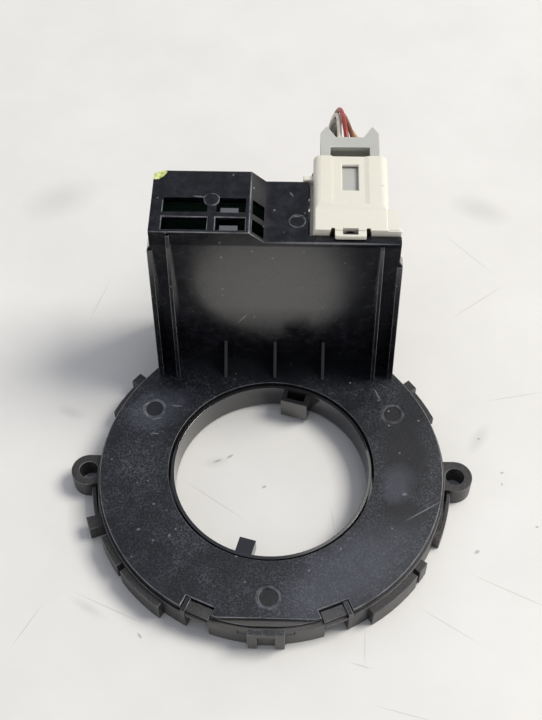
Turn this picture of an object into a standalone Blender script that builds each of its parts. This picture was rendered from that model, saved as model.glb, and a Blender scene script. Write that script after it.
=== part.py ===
"""Steering angle sensor: a flat ring that the steering column passes through, with an
upright electronics tower behind it and a plugged-in harness connector on the tower.

Metres, +Z up. The origin is on the column axis, in the plane of the underside. +Y runs
from the column axis to the tower, and +X to the side that carries the connector.
"""

import math

import bmesh
import bpy
from mathutils import Vector

# Clearances
SEAT = 0.0003                 # between pieces that rest on or in each other
ROTOR_GAP = 0.0006            # running gap between the rotor sleeve and the casing bore

# Ring casing, in two shells that meet at the parting line
RING_HEIGHT = 0.0090
COVER_RADIUS = 0.0450
COVER_THICKNESS = 0.0016
BORE_RADIUS = 0.0270
BORE_LIP = 0.0012             # wall of the lips around the bore
BASE_RIM_LEDGE = 0.0006       # how far the base wall stands out past the cover
BASE_WALL = 0.0014
BASE_FLOOR = 0.0015
THRUST_LIP_HEIGHT = 0.0005    # lip on the base floor that the rotor runs on
RING_FACETS = 96

# Screw ears and the straps beside them
EAR_REACH = 0.00283           # from the outside of the base wall to the ear's hole
EAR_RADIUS = 0.0046
EAR_HOLE_RADIUS = 0.00245
EAR_HEIGHT = 0.0060
STRAP_HEIGHT = 0.0050
STRAP_THICKNESS = 0.0010
STRAP_SLOT = 0.0007           # open slot between a strap and the base wall
STRAP_SPANS = ((184.0, 199.0), (337.5, 356.0))

# Fenders, flanges and hooks on the rim: where they start and end, in degrees
FENDER_REACH = 0.0019         # how far fenders and flanges stand out past the base wall
FENDER_HEIGHT = 0.0066
REAR_FLANGE_HEIGHT = 0.0058
FENDER_SPANS = ((218.5, 235.5), (303.5, 322.0))
SIDE_FLANGE_SPANS = ((205.0, 216.5), (323.5, 327.5))
REAR_FLANGE_SPANS = ((145.3, 157.0), (22.8, 34.8))
REAR_HOOKS = ((139.9, 143.9, 0.0035), (35.5, 39.5, 0.0030))     # start, end, reach
STRAP_BLOCKS = ((196.0, 200.5, 0.0040), (337.5, 340.5, 0.0017))

# Snap notches and clip at the front of the rim
NOTCH_ANGLE = 23.0            # each side of the front, in degrees
NOTCH_WIDTH = 0.0079
NOTCH_DEPTH = 0.0034
SNAP_BAR_BOTTOM = 0.0059
SNAP_BAR_RISE = 0.0009        # above the top of the base wall
SNAP_POST_WIDTH = 0.0012
FRONT_HALF_ANGLE = 18.8       # the front of the rim, from notch to notch
FRONT_COVER_SETBACK = 0.0009  # how much nearer the axis the cover and the base are there
FRONT_BASE_SETBACK = 0.0003
FRONT_RIM = 0.0020            # the base wall is thicker there
FRONT_CLIP_ANGLE = 6.1        # the part of the front that the clip takes up, each side
RELIEF_ANGLE = 9.0            # the slot outside the clip starts here and runs down, then inwards
RELIEF_DEPTH = 0.0003
RELIEF_BOTTOM = 0.0053
CHORD_DEPTH = 0.0026          # flat at the front of the cover's top face
CHORD_HALF = 0.0133
CHORD_STEP = 0.0011
CLIP_WIDTH = 0.0092
CLIP_LEG = 0.0024
CLIP_DEPTH = 0.0016
CLIP_BAR = 0.0017
CLIP_DROP = 0.0005            # below the cover's top face
CLIP_SLOT = 0.0010            # open slot between the cover and the clip

# Rotor: a sleeve with two drive tabs and a gear
ROTOR_WALL = 0.0009
ROTOR_BOTTOM = 0.0008
ROTOR_RIM_DROP = 0.0005       # below the cover's top face
TAB_ANGLE = 75.0
TAB_WIDTH = 0.0074
TAB_REACH = 0.0040
TAB_WALL = 0.0012
TAB_BOTTOM = 0.0012
TONGUE_WIDTH = 0.0043
TONGUE_REACH = 0.0049
TONGUE_DROP = 0.0020
TONGUE_HEIGHT = 0.0045

# Gear train
GEAR_MODULE = 0.0010
ROTOR_TEETH = 60
GEAR_A_TEETH = 21
GEAR_B_TEETH = 20
GEAR_THICKNESS = 0.0026
GEAR_SPREAD = 18.0            # degrees each side of the rear, a whole number of teeth
PRESSURE_ANGLE = math.radians(20.0)
BACKLASH = 0.00016
ADDENDUM = 0.85               # in modules
DEDENDUM = 1.15
HUB_RADIUS = 0.0040
HUB_TOP = 0.0070
PIN_RADIUS = 0.0012
PIN_TOP = 0.0042
MAGNET_RADIUS = 0.0028
MAGNET_HEIGHT = 0.0017

# Tower
TOWER_LEFT = -0.0318
TOWER_RIGHT = 0.0326
TOWER_EDGE_STEP = 0.0008      # the side walls step in near the top
EDGE_DROP_LEFT = 0.0065       # from the roof down to where the step starts
EDGE_DROP_RIGHT = 0.0080
EDGE_SLOPE = 0.0015
TOWER_FRONT_BASE = 0.0351
TOWER_FRONT_TOP = 0.0359
TOWER_BACK = 0.0570
TOWER_HIGH = 0.0605
TOWER_STEP = 0.00345          # from the high roof down to the low one
FOOT_FRONT = 0.0300           # where the tower's foot starts, inside the ring
SLANT_LEFT = -0.0060
SLANT_RIGHT = -0.00235
TOWER_WALL = 0.0014
FRONT_WALL = 0.0010
ROOF = 0.0012
BACK_CORNER = 0.0040
TOE_Y = 0.0284                # where the ribs and gussets end on the cover
SIDE_TOE_Y = 0.0291
RIB_THICKNESS = 0.0010
RIB_LEFT = -0.0263
RIB_RIGHT = 0.0271
RIB_TOP_REACH = 0.0006
GUSSET_THICKNESS = 0.0008
GUSSET_HEIGHT = 0.0081
GUSSET_XS = (-0.01325, 0.00025, 0.0134)
MARK_INSET = 0.0082           # moulding marks on the cover: place, sizes and angles
MARK_OUTER = 0.0034
MARK_INNER = 0.0024
MARK_OUTER_DEPTH = 0.00015
MARK_INNER_DEPTH = 0.00045
MARK_ANGLES = (28.4, 150.9, 270.6)
ROOF_MARK_RADIUS = 0.0020
ROOF_MARK_HEIGHT = 0.0002
ROOF_BOSS = (-0.0158, 0.0469)

# Windows in the tower's roof, as (low, high)
WINDOW_ROWS = ((0.0369, 0.0410), (0.0428, 0.0475))
WINDOW_LEFT = (-0.0279, -0.0167)
WINDOW_RIGHT = (-0.0145, -0.00715)
WINDOW_SLANT = (-0.00545, -0.00255)

# Connector pocket at the tower's upper right corner, and the deeper cut at its corner:
# width from the tower's right side, setback from its front, depth below the low roof
POCKET_WIDTH = 0.0240
POCKET_SETBACK = 0.0025
POCKET_DEPTH = 0.01135
CORNER_WIDTH = 0.0039
CORNER_SETBACK = 0.0041
CORNER_DEPTH = 0.02205
PARTITION = 0.0014

# Rear cover and boards
REAR_COVER = 0.0015
PAD_RADIUS = 0.0018           # pads of the rear cover that press on the main board
PAD_INSET = 0.0080
PANEL_INSET = 0.0055          # sunk panel in the rear cover, with ribs across it
PANEL_DEPTH = 0.0005
REAR_RIBS = 3
BOARD_FRONT = 0.0506
BOARD_THICKNESS = 0.0016
RAIL_WIDTH = 0.0013
RAIL_DEPTH = 0.0015
SENSOR_BOARD_BOTTOM = 0.0085
SENSOR_BOARD_THICKNESS = 0.0010
SENSOR_BOARD_BACK = 0.0495
SENSOR_BOARD_HALF = 0.0275
SENSOR_IC = (0.0044, 0.0040, 0.0006)
# Packages on the main board: centre from the tower's left side and from the underside,
# then width, height and depth
BOARD_CHIPS = (
    ("processor", (0.0148, 0.0360), (0.0100, 0.0100, 0.0014)),
    ("regulator", (0.0298, 0.0290), (0.0066, 0.0062, 0.0023)),
    ("bus_transceiver", (0.0308, 0.0420), (0.0050, 0.0040, 0.0015)),
)
CAPACITOR_RADIUS = 0.0032
CAPACITOR_LENGTH = 0.0062
CAPACITOR_Z = 0.0200
CAPACITOR_INSETS = (("a", 0.0093), ("b", 0.0173))     # from the tower's left side
LINK_SETBACK = 0.0020         # the pin strip's place, from the sensor board's rear edge
LINK_HEIGHT = 0.0034
LINK_PITCH = 0.0024
LINK_COUNT = 6

# White receptacle. Its spans are measured from its left front corner.
HOUSING_INSET = 0.0011        # from the pocket's left wall
HOUSING_WIDTH = 0.0191
HOUSING_LENGTH = 0.0253
HOUSING_HEIGHT = 0.0136
HOUSING_STEP = 0.0005         # from the hood's top down to the base block's
RIDGE_SETBACK = 0.0085        # where the mouth hood meets the base block
RIDGE_RUN = 0.0016
HOUSING_CORNER = 0.0019
HOUSING_WALL = 0.0015
HOUSING_ROOF = 0.0013
HOUSING_RIM = 0.0004          # by which its flange, wing and arm are joined to it
MOUTH_SETBACK = 0.0088
BAND_INSET = 0.0048           # the shallow band along the hood's top
BAND_DEPTH = 0.0003
FLANGE_THICKNESS = 0.0009
FLANGE_REACH = 0.0031
WING_REACH = 0.0023
WING_LENGTH = 0.0073
WING_THICKNESS = 0.0030
LATCH_WINDOW = ((0.0074, 0.0115), (0.0134, 0.0223))
SNAP_ARM = (0.0055, 0.0133)
SNAP_ARM_REACH = 0.0018       # in front of the receptacle
SNAP_ARM_THICKNESS = 0.0015
SNAP_HOLE = ((0.0074, 0.0113), (-0.0013, 0.0006))
SNAP_SLIT = 0.0010
SNAP_SLIT_LENGTH = 0.0024

# Terminals
TERMINAL_COUNT = 5
TERMINAL_PITCH = 0.00245
TERMINAL_SIZE = 0.00064
TERMINAL_RISE = 0.0050        # above the receptacle's underside
TERMINAL_FALL = 0.0110
TERMINAL_SETBACK = 0.0043     # from the receptacle's front to where they turn down
TERMINAL_REACH = 0.0133       # from its front to their tips

# Plug, with its places along the wires measured from the receptacle's rear end
PLUG_END_GAP = 0.0010         # from the bottom of the mouth
PLUG_BODY_HEIGHT = 0.0062
PLUG_BODY_END = 0.0060
PLUG_BRIDGE = 0.0014
PLUG_CAVITY = 0.0019
PLUG_OPENING = -0.0020
PLUG_BAR = 0.0047
PLUG_VALLEY = 0.0085
PLUG_SHOULDER = 0.0099
PLUG_HORN = 0.0126
PLUG_RAIL = 0.0026
PLUG_VALLEY_INSET = 0.0041
PLUG_HORN_INSET = 0.0017
PLUG_LATCH = (0.0063, 0.0126)
PLUG_LATCH_THICKNESS = 0.0014
PLUG_LATCH_END = 0.0024
PLUG_LATCH_FALL = 0.0035      # from the plug's top to the underside of the latch arm's end
CONTACT_HALF_HEIGHT = 0.00095
CRIMP_SIZE = 0.0013
CRIMP_END = 0.0017
WIRE_RADIUS = 0.00065

# The route of the wire bundle's middle: x, y, z, how closely the wires are bunched
# (0 side by side at the plug, 1 bunched, 2 side by side on the table), and the turn of
# the row in degrees.
WIRE_ROUTE = (
    (0.01925, 0.0660, 0.0510, 0.0, 0.0),
    (0.01925, 0.0700, 0.0510, 0.0, 0.0),
    (0.0190, 0.0740, 0.0512, 0.2, 0.0),
    (0.0185, 0.0780, 0.0518, 0.42, 0.0),
    (0.0179, 0.0825, 0.0518, 0.75, 0.0),
    (0.0174, 0.0872, 0.0502, 1.0, 0.0),
    (0.0168, 0.0912, 0.0472, 1.0, 0.0),
    (0.0161, 0.0940, 0.0424, 1.0, 5.0),
    (0.0153, 0.0955, 0.0362, 1.0, 12.0),
    (0.0143, 0.0961, 0.0294, 1.0, 22.0),
    (0.0129, 0.0952, 0.0224, 1.0, 36.0),
    (0.0110, 0.0942, 0.0158, 1.1, 52.0),
    (0.0080, 0.0924, 0.0098, 1.25, 66.0),
    (0.0037, 0.0900, 0.0050, 1.5, 76.0),
    (-0.0020, 0.0876, 0.0020, 1.8, 82.0),
    (-0.0085, 0.0858, 0.0009, 2.0, 86.0),
    (-0.0152, 0.0849, 0.0008, 2.0, 90.0),
    (-0.0220, 0.0848, 0.0008, 2.0, 90.0),
)
WIRE_POINTS = 34
# Where each wire lies in the bunch: beside and above its middle
BUNCH = (
    (-0.00085, -0.00080), (-0.00085, 0.00085), (0.0, 0.00230), (0.00085, 0.00085), (0.00085, -0.00080),
)
TABLE_PITCH = 0.0019
WIRE_COLOURS = (
    ("black", (0.050, 0.048, 0.035)),
    ("white", (0.78, 0.77, 0.72)),
    ("red", (0.42, 0.035, 0.025)),
    ("brown", (0.26, 0.09, 0.04)),
    ("tan", (0.62, 0.44, 0.26)),
)

# Heights and radii that follow from the sizes above
COVER_UNDERSIDE = RING_HEIGHT - COVER_THICKNESS
BASE_TOP = COVER_UNDERSIDE - SEAT
BASE_RADIUS = COVER_RADIUS + BASE_RIM_LEDGE
EAR_OFFSET = BASE_RADIUS + EAR_REACH
FRONT_COVER_RADIUS = COVER_RADIUS - FRONT_COVER_SETBACK
FRONT_BASE_RADIUS = BASE_RADIUS - FRONT_BASE_SETBACK
CLIP_BACK = COVER_RADIUS
CLIP_FACE = CLIP_BACK + CLIP_DEPTH
ROTOR_OUTER = BORE_RADIUS - ROTOR_GAP
ROTOR_INNER = ROTOR_OUTER - ROTOR_WALL
ROTOR_TOP = RING_HEIGHT - ROTOR_RIM_DROP
THRUST_TOP = BASE_FLOOR + THRUST_LIP_HEIGHT
GEAR_BOTTOM = THRUST_TOP + SEAT
GEAR_TOP = GEAR_BOTTOM + GEAR_THICKNESS
BOARD_BACK = BOARD_FRONT + BOARD_THICKNESS
BOARD_BOTTOM = BASE_FLOOR + SEAT
SENSOR_BOARD_TOP = SENSOR_BOARD_BOTTOM + SENSOR_BOARD_THICKNESS
TOWER_LOW = TOWER_HIGH - TOWER_STEP
EDGE_LEFT = TOWER_HIGH - EDGE_DROP_LEFT
EDGE_RIGHT = TOWER_LOW - EDGE_DROP_RIGHT
POCKET_LEFT = TOWER_RIGHT - POCKET_WIDTH
POCKET_FRONT = TOWER_FRONT_TOP + POCKET_SETBACK
POCKET_FLOOR = TOWER_LOW - POCKET_DEPTH
CORNER_LEFT = TOWER_RIGHT - CORNER_WIDTH
CORNER_FRONT = TOWER_FRONT_TOP + CORNER_SETBACK
CORNER_FLOOR = TOWER_LOW - CORNER_DEPTH
HOUSING_LEFT = POCKET_LEFT + HOUSING_INSET
HOUSING_RIGHT = HOUSING_LEFT + HOUSING_WIDTH
HOUSING_MIDDLE = (HOUSING_LEFT + HOUSING_RIGHT) / 2
HOUSING_FRONT = POCKET_FRONT + SEAT
HOUSING_BACK = HOUSING_FRONT + HOUSING_LENGTH
HOUSING_BOTTOM = POCKET_FLOOR + SEAT
HOUSING_TOP = HOUSING_BOTTOM + HOUSING_HEIGHT
HOUSING_BASE_TOP = HOUSING_TOP - HOUSING_STEP
MOUTH_FRONT = HOUSING_FRONT + MOUTH_SETBACK
MOUTH_TOP = HOUSING_TOP - HOUSING_ROOF
MOUTH_LEFT = HOUSING_LEFT + HOUSING_WALL
MOUTH_RIGHT = HOUSING_RIGHT - HOUSING_WALL
MOUTH_BOTTOM = HOUSING_BOTTOM + HOUSING_WALL
TERMINAL_Z = HOUSING_BOTTOM + TERMINAL_RISE
TERMINAL_LOW_Z = TERMINAL_Z - TERMINAL_FALL
TERMINAL_DROP_Y = HOUSING_FRONT + TERMINAL_SETBACK
TERMINAL_TIP = HOUSING_FRONT + TERMINAL_REACH
PLUG_LEFT = MOUTH_LEFT + SEAT
PLUG_RIGHT = MOUTH_RIGHT - SEAT
PLUG_FRONT = MOUTH_FRONT + PLUG_END_GAP
PLUG_TOP = MOUTH_TOP - SEAT
PLUG_BOTTOM = MOUTH_BOTTOM + SEAT
PLUG_BODY_TOP = PLUG_BOTTOM + PLUG_BODY_HEIGHT
OVERCUT = 0.0010              # how far a cutter runs past the face that it cuts
CLEAR = 0.0002                # how far an outline stays off a face that it mustn't touch


def clear_scene():
    for item in list(bpy.data.objects):
        bpy.data.objects.remove(item, do_unlink=True)


def material(name, colour, roughness, metallic=0.0):
    made = bpy.data.materials.new(name)
    made.use_nodes = True
    shader = made.node_tree.nodes["Principled BSDF"]
    shader.inputs["Base Color"].default_value = (*colour, 1.0)
    shader.inputs["Roughness"].default_value = roughness
    shader.inputs["Metallic"].default_value = metallic
    return made


def polar(radius, degrees, centre=(0.0, 0.0)):
    angle = math.radians(degrees)
    return (centre[0] + radius * math.cos(angle), centre[1] + radius * math.sin(angle))


def circle(radius, centre=(0.0, 0.0), count=RING_FACETS):
    return [polar(radius, 360.0 * i / count, centre) for i in range(count)]


def solid(name, bm):
    """Makes an object of a closed bmesh, with its faces pointing out."""
    bmesh.ops.recalc_face_normals(bm, faces=bm.faces)
    mesh = bpy.data.meshes.new(name)
    bm.to_mesh(mesh)
    bm.free()
    made = bpy.data.objects.new(name, mesh)
    bpy.context.scene.collection.objects.link(made)
    return made


def extrusion(outline, low, high, place):
    """Extrudes a flat outline; place turns (a, b, height) into a point."""
    bm = bmesh.new()
    bottom = [bm.verts.new(place(a, b, low)) for a, b in outline]
    top = [bm.verts.new(place(a, b, high)) for a, b in outline]
    bm.faces.new(bottom[::-1])
    bm.faces.new(top)
    for i in range(len(outline)):
        bm.faces.new((bottom[i - 1], bottom[i], top[i], top[i - 1]))
    return solid("blank", bm)


def prism(outline, low, high):
    """An XY outline, extruded along Z."""
    return extrusion(outline, low, high, lambda a, b, h: (a, b, h))


def slab(outline, low, high):
    """An XZ outline, extruded along Y."""
    return extrusion(outline, low, high, lambda a, b, h: (a, h, b))


def web(outline, low, high):
    """A YZ outline, extruded along X."""
    return extrusion(outline, low, high, lambda a, b, h: (h, a, b))


def block(xs, ys, zs):
    return prism([(xs[0], ys[0]), (xs[1], ys[0]), (xs[1], ys[1]), (xs[0], ys[1])], *zs)


def post(radius, low, high, centre=(0.0, 0.0), count=24):
    return prism(circle(radius, centre, count), low, high)


def sector(inner, outer, start, end, low, high):
    """A piece of a ring, from one angle to another in degrees."""
    steps = max(1, round(abs(end - start) / (360.0 / RING_FACETS)))
    angles = [start + (end - start) * i / steps for i in range(steps + 1)]
    outline = [polar(outer, a) for a in angles] + [polar(inner, a) for a in reversed(angles)]
    return prism(outline, low, high)


def turned_block(angle, radii, half_width, zs, shift=0.0):
    """A straight-sided block whose length points away from the column axis."""
    along = Vector(polar(1.0, angle))
    across = Vector((-along.y, along.x))
    corners = ((radii[0], shift - half_width), (radii[1], shift - half_width),
               (radii[1], shift + half_width), (radii[0], shift + half_width))
    return prism([tuple(along * r + across * t) for r, t in corners], *zs)


def combine(target, others, operation):
    """Applies one Boolean operation with several pieces, and removes them."""
    group = bpy.data.collections.new("operands")
    bpy.context.scene.collection.children.link(group)
    for other in others:
        group.objects.link(other)
    step = target.modifiers.new("combine", "BOOLEAN")
    step.operation = operation
    step.operand_type = "COLLECTION"
    step.collection = group
    bpy.context.view_layer.update()
    depsgraph = bpy.context.evaluated_depsgraph_get()
    result = bpy.data.meshes.new_from_object(target.evaluated_get(depsgraph))
    target.modifiers.clear()
    target.data = result
    for other in others:
        bpy.data.objects.remove(other, do_unlink=True)
    bpy.data.collections.remove(group)
    return target


def fuse(target, *others):
    return combine(target, others, "UNION")


def cut(target, *others):
    return combine(target, others, "DIFFERENCE")


def common(target, other):
    return combine(target, [other], "INTERSECT")


def finish(target, name, surface, parent=None):
    """Names a finished piece, gives it its material and smooths its round faces."""
    bm = bmesh.new()
    bm.from_mesh(target.data)
    bmesh.ops.remove_doubles(bm, verts=bm.verts, dist=1e-6)
    bmesh.ops.dissolve_degenerate(bm, edges=bm.edges, dist=1e-6)
    bmesh.ops.triangulate(bm, faces=bm.faces)
    bm.to_mesh(target.data)
    bm.free()
    target.name = name
    target.data.name = name
    target.data.materials.clear()
    target.data.materials.append(surface)
    target.data.shade_smooth()
    target.data.set_sharp_from_angle(angle=math.radians(30.0))
    if parent is not None:
        target.parent = parent
        target.matrix_parent_inverse = parent.matrix_world.inverted()
    return target


def pivot(name, place):
    """An empty on a joint's axis, which carries the pieces that turn about it."""
    made = bpy.data.objects.new(name, None)
    made.location = place
    bpy.context.scene.collection.objects.link(made)
    bpy.context.view_layer.update()
    return made


def involute(angle):
    return math.tan(angle) - angle


def tooth_half_angle(radius, teeth):
    """Half the angle that a tooth covers at this radius."""
    pitch = teeth * GEAR_MODULE / 2
    base = pitch * math.cos(PRESSURE_ANGLE)
    at_pitch = (math.pi * GEAR_MODULE / 2 - BACKLASH) / (2 * pitch)
    if radius <= base:
        return at_pitch + involute(PRESSURE_ANGLE)
    return at_pitch + involute(PRESSURE_ANGLE) - involute(math.acos(base / radius))


def gear_outline(teeth, centre, first_tooth):
    """Involute teeth, with one tooth pointing at first_tooth, in degrees."""
    pitch = teeth * GEAR_MODULE / 2
    root = pitch - DEDENDUM * GEAR_MODULE
    tip = pitch + ADDENDUM * GEAR_MODULE
    radii = (root, pitch, tip)
    outline = []
    for index in range(teeth):
        middle = first_tooth + 360.0 * index / teeth
        halves = [math.degrees(tooth_half_angle(r, teeth)) for r in radii]
        outline += [polar(r, middle - h, centre) for r, h in zip(radii, halves)]
        outline += [polar(r, middle + h, centre) for r, h in reversed(list(zip(radii, halves)))]
    return outline


def rounded_back(left, right, front, back, radius):
    """A plan outline with square front corners and round rear ones."""
    steps = 6
    points = [(left, front), (right, front)]
    for middle, start in (((right - radius, back - radius), 0.0), ((left + radius, back - radius), 90.0)):
        points += [polar(radius, start + 90.0 * i / steps, middle) for i in range(steps + 1)]
    return points


def front_face(z):
    """Where the tower's drafted front face lies at a height."""
    share = (z - RING_HEIGHT) / (TOWER_HIGH - RING_HEIGHT)
    return TOWER_FRONT_BASE + (TOWER_FRONT_TOP - TOWER_FRONT_BASE) * share


def gear_centre(teeth, side):
    distance = (ROTOR_TEETH + teeth) * GEAR_MODULE / 2
    return polar(distance, 90.0 + side * GEAR_SPREAD)


def board_posts():
    """Where the base carries the horizontal sensor board."""
    return ((0.0, 0.0435), (-0.0255, 0.0455), (0.0255, 0.0455))


def rim_details():
    """Fenders, flanges, hooks and straps on the outside of the base wall."""
    inner = BASE_RADIUS - BASE_WALL / 2
    slot = BASE_RADIUS + STRAP_SLOT
    lift = BASE_FLOOR / 3
    middle = REAR_FLANGE_HEIGHT / 2
    pieces = []

    def add(spans, start_radius, reach, low, high):
        outer = BASE_RADIUS + reach
        pieces.extend(sector(start_radius, outer, start, end, low, high) for start, end in spans)

    add(FENDER_SPANS, inner, FENDER_REACH, 0.0, FENDER_HEIGHT)
    add(SIDE_FLANGE_SPANS, inner, FENDER_REACH, lift, FENDER_HEIGHT)
    add(REAR_FLANGE_SPANS, inner, FENDER_REACH, middle, REAR_FLANGE_HEIGHT)
    add(STRAP_SPANS, slot, STRAP_SLOT + STRAP_THICKNESS, lift, STRAP_HEIGHT)
    for start, end, reach in REAR_HOOKS:
        add([(start, end)], inner, reach, lift, REAR_FLANGE_HEIGHT)
    for start, end, reach in STRAP_BLOCKS:
        add([(start, end)], inner, reach, 0.0, STRAP_HEIGHT)
    return pieces


def ear(side):
    """A screw ear with the neck that joins it to the base wall."""
    middle = (side * EAR_OFFSET, 0.0)
    neck = sorted((side * (BASE_RADIUS - BASE_WALL / 2), side * EAR_OFFSET))
    return [post(EAR_RADIUS, 0.0, EAR_HEIGHT, middle, 32),
            block(neck, (-EAR_RADIUS * 0.9, EAR_RADIUS * 0.98), (0.0, EAR_HEIGHT))]


def front_clip():
    """The staple-shaped clip that stands up on the front of the base wall."""
    half = CLIP_WIDTH / 2
    top = RING_HEIGHT - CLIP_DROP
    bar = block((-half, half), (-CLIP_FACE, -CLIP_BACK), (top - CLIP_BAR, top))
    legs = [block(sorted((side * half, side * (half - CLIP_LEG))), (-CLIP_FACE, -CLIP_BACK), (SEAT, top))
            for side in (-1, 1)]
    return [bar] + legs


def snap_tongues():
    """A tongue that stands in each notch of the cover, and the post beside it."""
    pieces = []
    for side in (-1, 1):
        angle = 270.0 + side * NOTCH_ANGLE
        radii = (COVER_RADIUS - NOTCH_DEPTH + SEAT, BASE_RADIUS - BASE_WALL / 2)
        half = NOTCH_WIDTH / 2 - SEAT
        pieces.append(turned_block(angle, radii, half, (BASE_FLOOR / 2, BASE_TOP + SNAP_BAR_RISE)))
        step = side * (half - SNAP_POST_WIDTH / 2)
        tall = (radii[0] - 0.0001, BASE_RADIUS + 0.0001)
        heights = (BASE_FLOOR / 2, RING_HEIGHT - SEAT)
        pieces.append(turned_block(angle, tall, SNAP_POST_WIDTH / 2, heights, step))
    return pieces


def snap_windows():
    """Opens the base under each tongue's bar, beside its post."""
    half = (NOTCH_WIDTH - SNAP_POST_WIDTH) / 2 - SEAT
    radii = (COVER_RADIUS - NOTCH_DEPTH + SEAT * 2, BASE_RADIUS + OVERCUT)
    return [turned_block(270.0 + side * NOTCH_ANGLE, radii, half, (-OVERCUT, SNAP_BAR_BOTTOM),
                         -side * SNAP_POST_WIDTH / 2) for side in (-1, 1)]


def front_cuts():
    """Sets the base wall back at the front, and cuts the slot outside the clip."""
    pieces = []
    depth = FRONT_BASE_RADIUS - RELIEF_DEPTH
    outer = BASE_RADIUS + OVERCUT
    for side in (-1, 1):
        far = 270.0 + side * FRONT_HALF_ANGLE
        near = 270.0 + side * FRONT_CLIP_ANGLE
        corner = 270.0 + side * RELIEF_ANGLE
        pieces.append(sector(FRONT_BASE_RADIUS, outer, *sorted((far, near)), -OVERCUT, RING_HEIGHT))
        down = sorted((corner, corner - side * 0.4))
        pieces.append(sector(depth, outer, *down, RELIEF_BOTTOM, RING_HEIGHT))
        level = sorted((corner - side * 0.2, near))
        pieces.append(sector(depth, outer, *level, RELIEF_BOTTOM, RELIEF_BOTTOM + RELIEF_DEPTH))
    return pieces


def base_plan(grow, low, high):
    """The base's plan: the round ring with the square foot of the tower."""
    foot = rounded_back(TOWER_LEFT + grow, TOWER_RIGHT - grow, FOOT_FRONT, TOWER_BACK - grow,
                        BACK_CORNER - grow)
    return fuse(prism(circle(BASE_RADIUS - grow), low, high), prism(foot, low, high))


def lower_casing(surface):
    body = base_plan(0.0, 0.0, BASE_TOP)
    cut(body, base_plan(BASE_WALL, BASE_FLOOR, BASE_TOP + OVERCUT))
    additions = [post(BORE_RADIUS + BORE_LIP, BASE_FLOOR / 2, THRUST_TOP, count=RING_FACETS)]
    for teeth, side in ((GEAR_A_TEETH, 1), (GEAR_B_TEETH, -1)):
        middle = gear_centre(teeth, side)
        additions.append(post(PIN_RADIUS, BASE_FLOOR / 2, PIN_TOP, middle, 16))
        additions.append(post(PIN_RADIUS * 2, BASE_FLOOR / 2, THRUST_TOP, middle, 16))
    for place in board_posts():
        additions.append(post(0.0012, BASE_FLOOR / 2, SENSOR_BOARD_BOTTOM - SEAT, place, 12))
    front = (270.0 - FRONT_HALF_ANGLE, 270.0 + FRONT_HALF_ANGLE)
    rim = (FRONT_BASE_RADIUS - FRONT_RIM, BASE_RADIUS - BASE_WALL / 2)
    additions.append(sector(*rim, *front, BASE_FLOOR / 2, BASE_TOP))
    additions += rim_details() + ear(-1) + ear(1) + front_clip() + snap_tongues()
    fuse(body, *additions)
    holes = [post(EAR_HOLE_RADIUS, -OVERCUT, EAR_HEIGHT + OVERCUT, (side * EAR_OFFSET, 0.0), 24)
             for side in (-1, 1)]
    bore = post(BORE_RADIUS, -OVERCUT, RING_HEIGHT, count=RING_FACETS)
    cut(body, bore, *holes, *front_cuts(), *snap_windows())
    return finish(body, "lower_casing", surface)


def tower_shell():
    """The tower's outer form: stepped roof, drafted front, round rear corners."""
    left = TOWER_LEFT + TOWER_EDGE_STEP
    right = TOWER_RIGHT - TOWER_EDGE_STEP
    front_view = [
        (TOWER_LEFT, COVER_UNDERSIDE), (TOWER_RIGHT, COVER_UNDERSIDE), (TOWER_RIGHT, EDGE_RIGHT),
        (right, EDGE_RIGHT + EDGE_SLOPE), (right, TOWER_LOW), (SLANT_RIGHT, TOWER_LOW),
        (SLANT_LEFT, TOWER_HIGH), (left, TOWER_HIGH), (left, EDGE_LEFT + EDGE_SLOPE),
        (TOWER_LEFT, EDGE_LEFT),
    ]
    side_view = [
        (front_face(COVER_UNDERSIDE), COVER_UNDERSIDE), (TOWER_BACK, COVER_UNDERSIDE),
        (TOWER_BACK, TOWER_HIGH), (TOWER_FRONT_TOP, TOWER_HIGH),
    ]
    plan = rounded_back(TOWER_LEFT - CLEAR, TOWER_RIGHT + CLEAR, FOOT_FRONT, TOWER_BACK, BACK_CORNER)
    shell = slab(front_view, FOOT_FRONT, TOWER_BACK + OVERCUT)
    common(shell, web(side_view, TOWER_LEFT - OVERCUT, TOWER_RIGHT + OVERCUT))
    return common(shell, prism(plan, 0.0, TOWER_HIGH + OVERCUT))


def tower_cavity():
    """The space inside the tower, which steps down around the connector pocket."""
    left = TOWER_LEFT + TOWER_WALL
    right = TOWER_RIGHT - TOWER_WALL
    inner_corner = CORNER_LEFT - PARTITION
    inner_pocket = POCKET_LEFT - PARTITION
    front_view = [
        (left, 0.0), (right, 0.0), (right, CORNER_FLOOR - PARTITION),
        (inner_corner, CORNER_FLOOR - PARTITION), (inner_corner, POCKET_FLOOR - PARTITION),
        (inner_pocket, POCKET_FLOOR - PARTITION), (inner_pocket, TOWER_LOW - ROOF),
        (SLANT_RIGHT - ROOF * 0.4, TOWER_LOW - ROOF), (SLANT_LEFT - ROOF * 0.4, TOWER_HIGH - ROOF),
        (left + TOWER_EDGE_STEP, TOWER_HIGH - ROOF), (left + TOWER_EDGE_STEP, EDGE_LEFT + EDGE_SLOPE),
        (left, EDGE_LEFT),
    ]
    side_view = [
        (front_face(0.0) + FRONT_WALL, 0.0), (TOWER_BACK + OVERCUT, 0.0),
        (TOWER_BACK + OVERCUT, TOWER_HIGH), (TOWER_FRONT_TOP + FRONT_WALL, TOWER_HIGH),
    ]
    space = slab(front_view, FOOT_FRONT + OVERCUT, TOWER_BACK + OVERCUT / 2)
    return common(space, web(side_view, TOWER_LEFT, TOWER_RIGHT))


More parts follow.
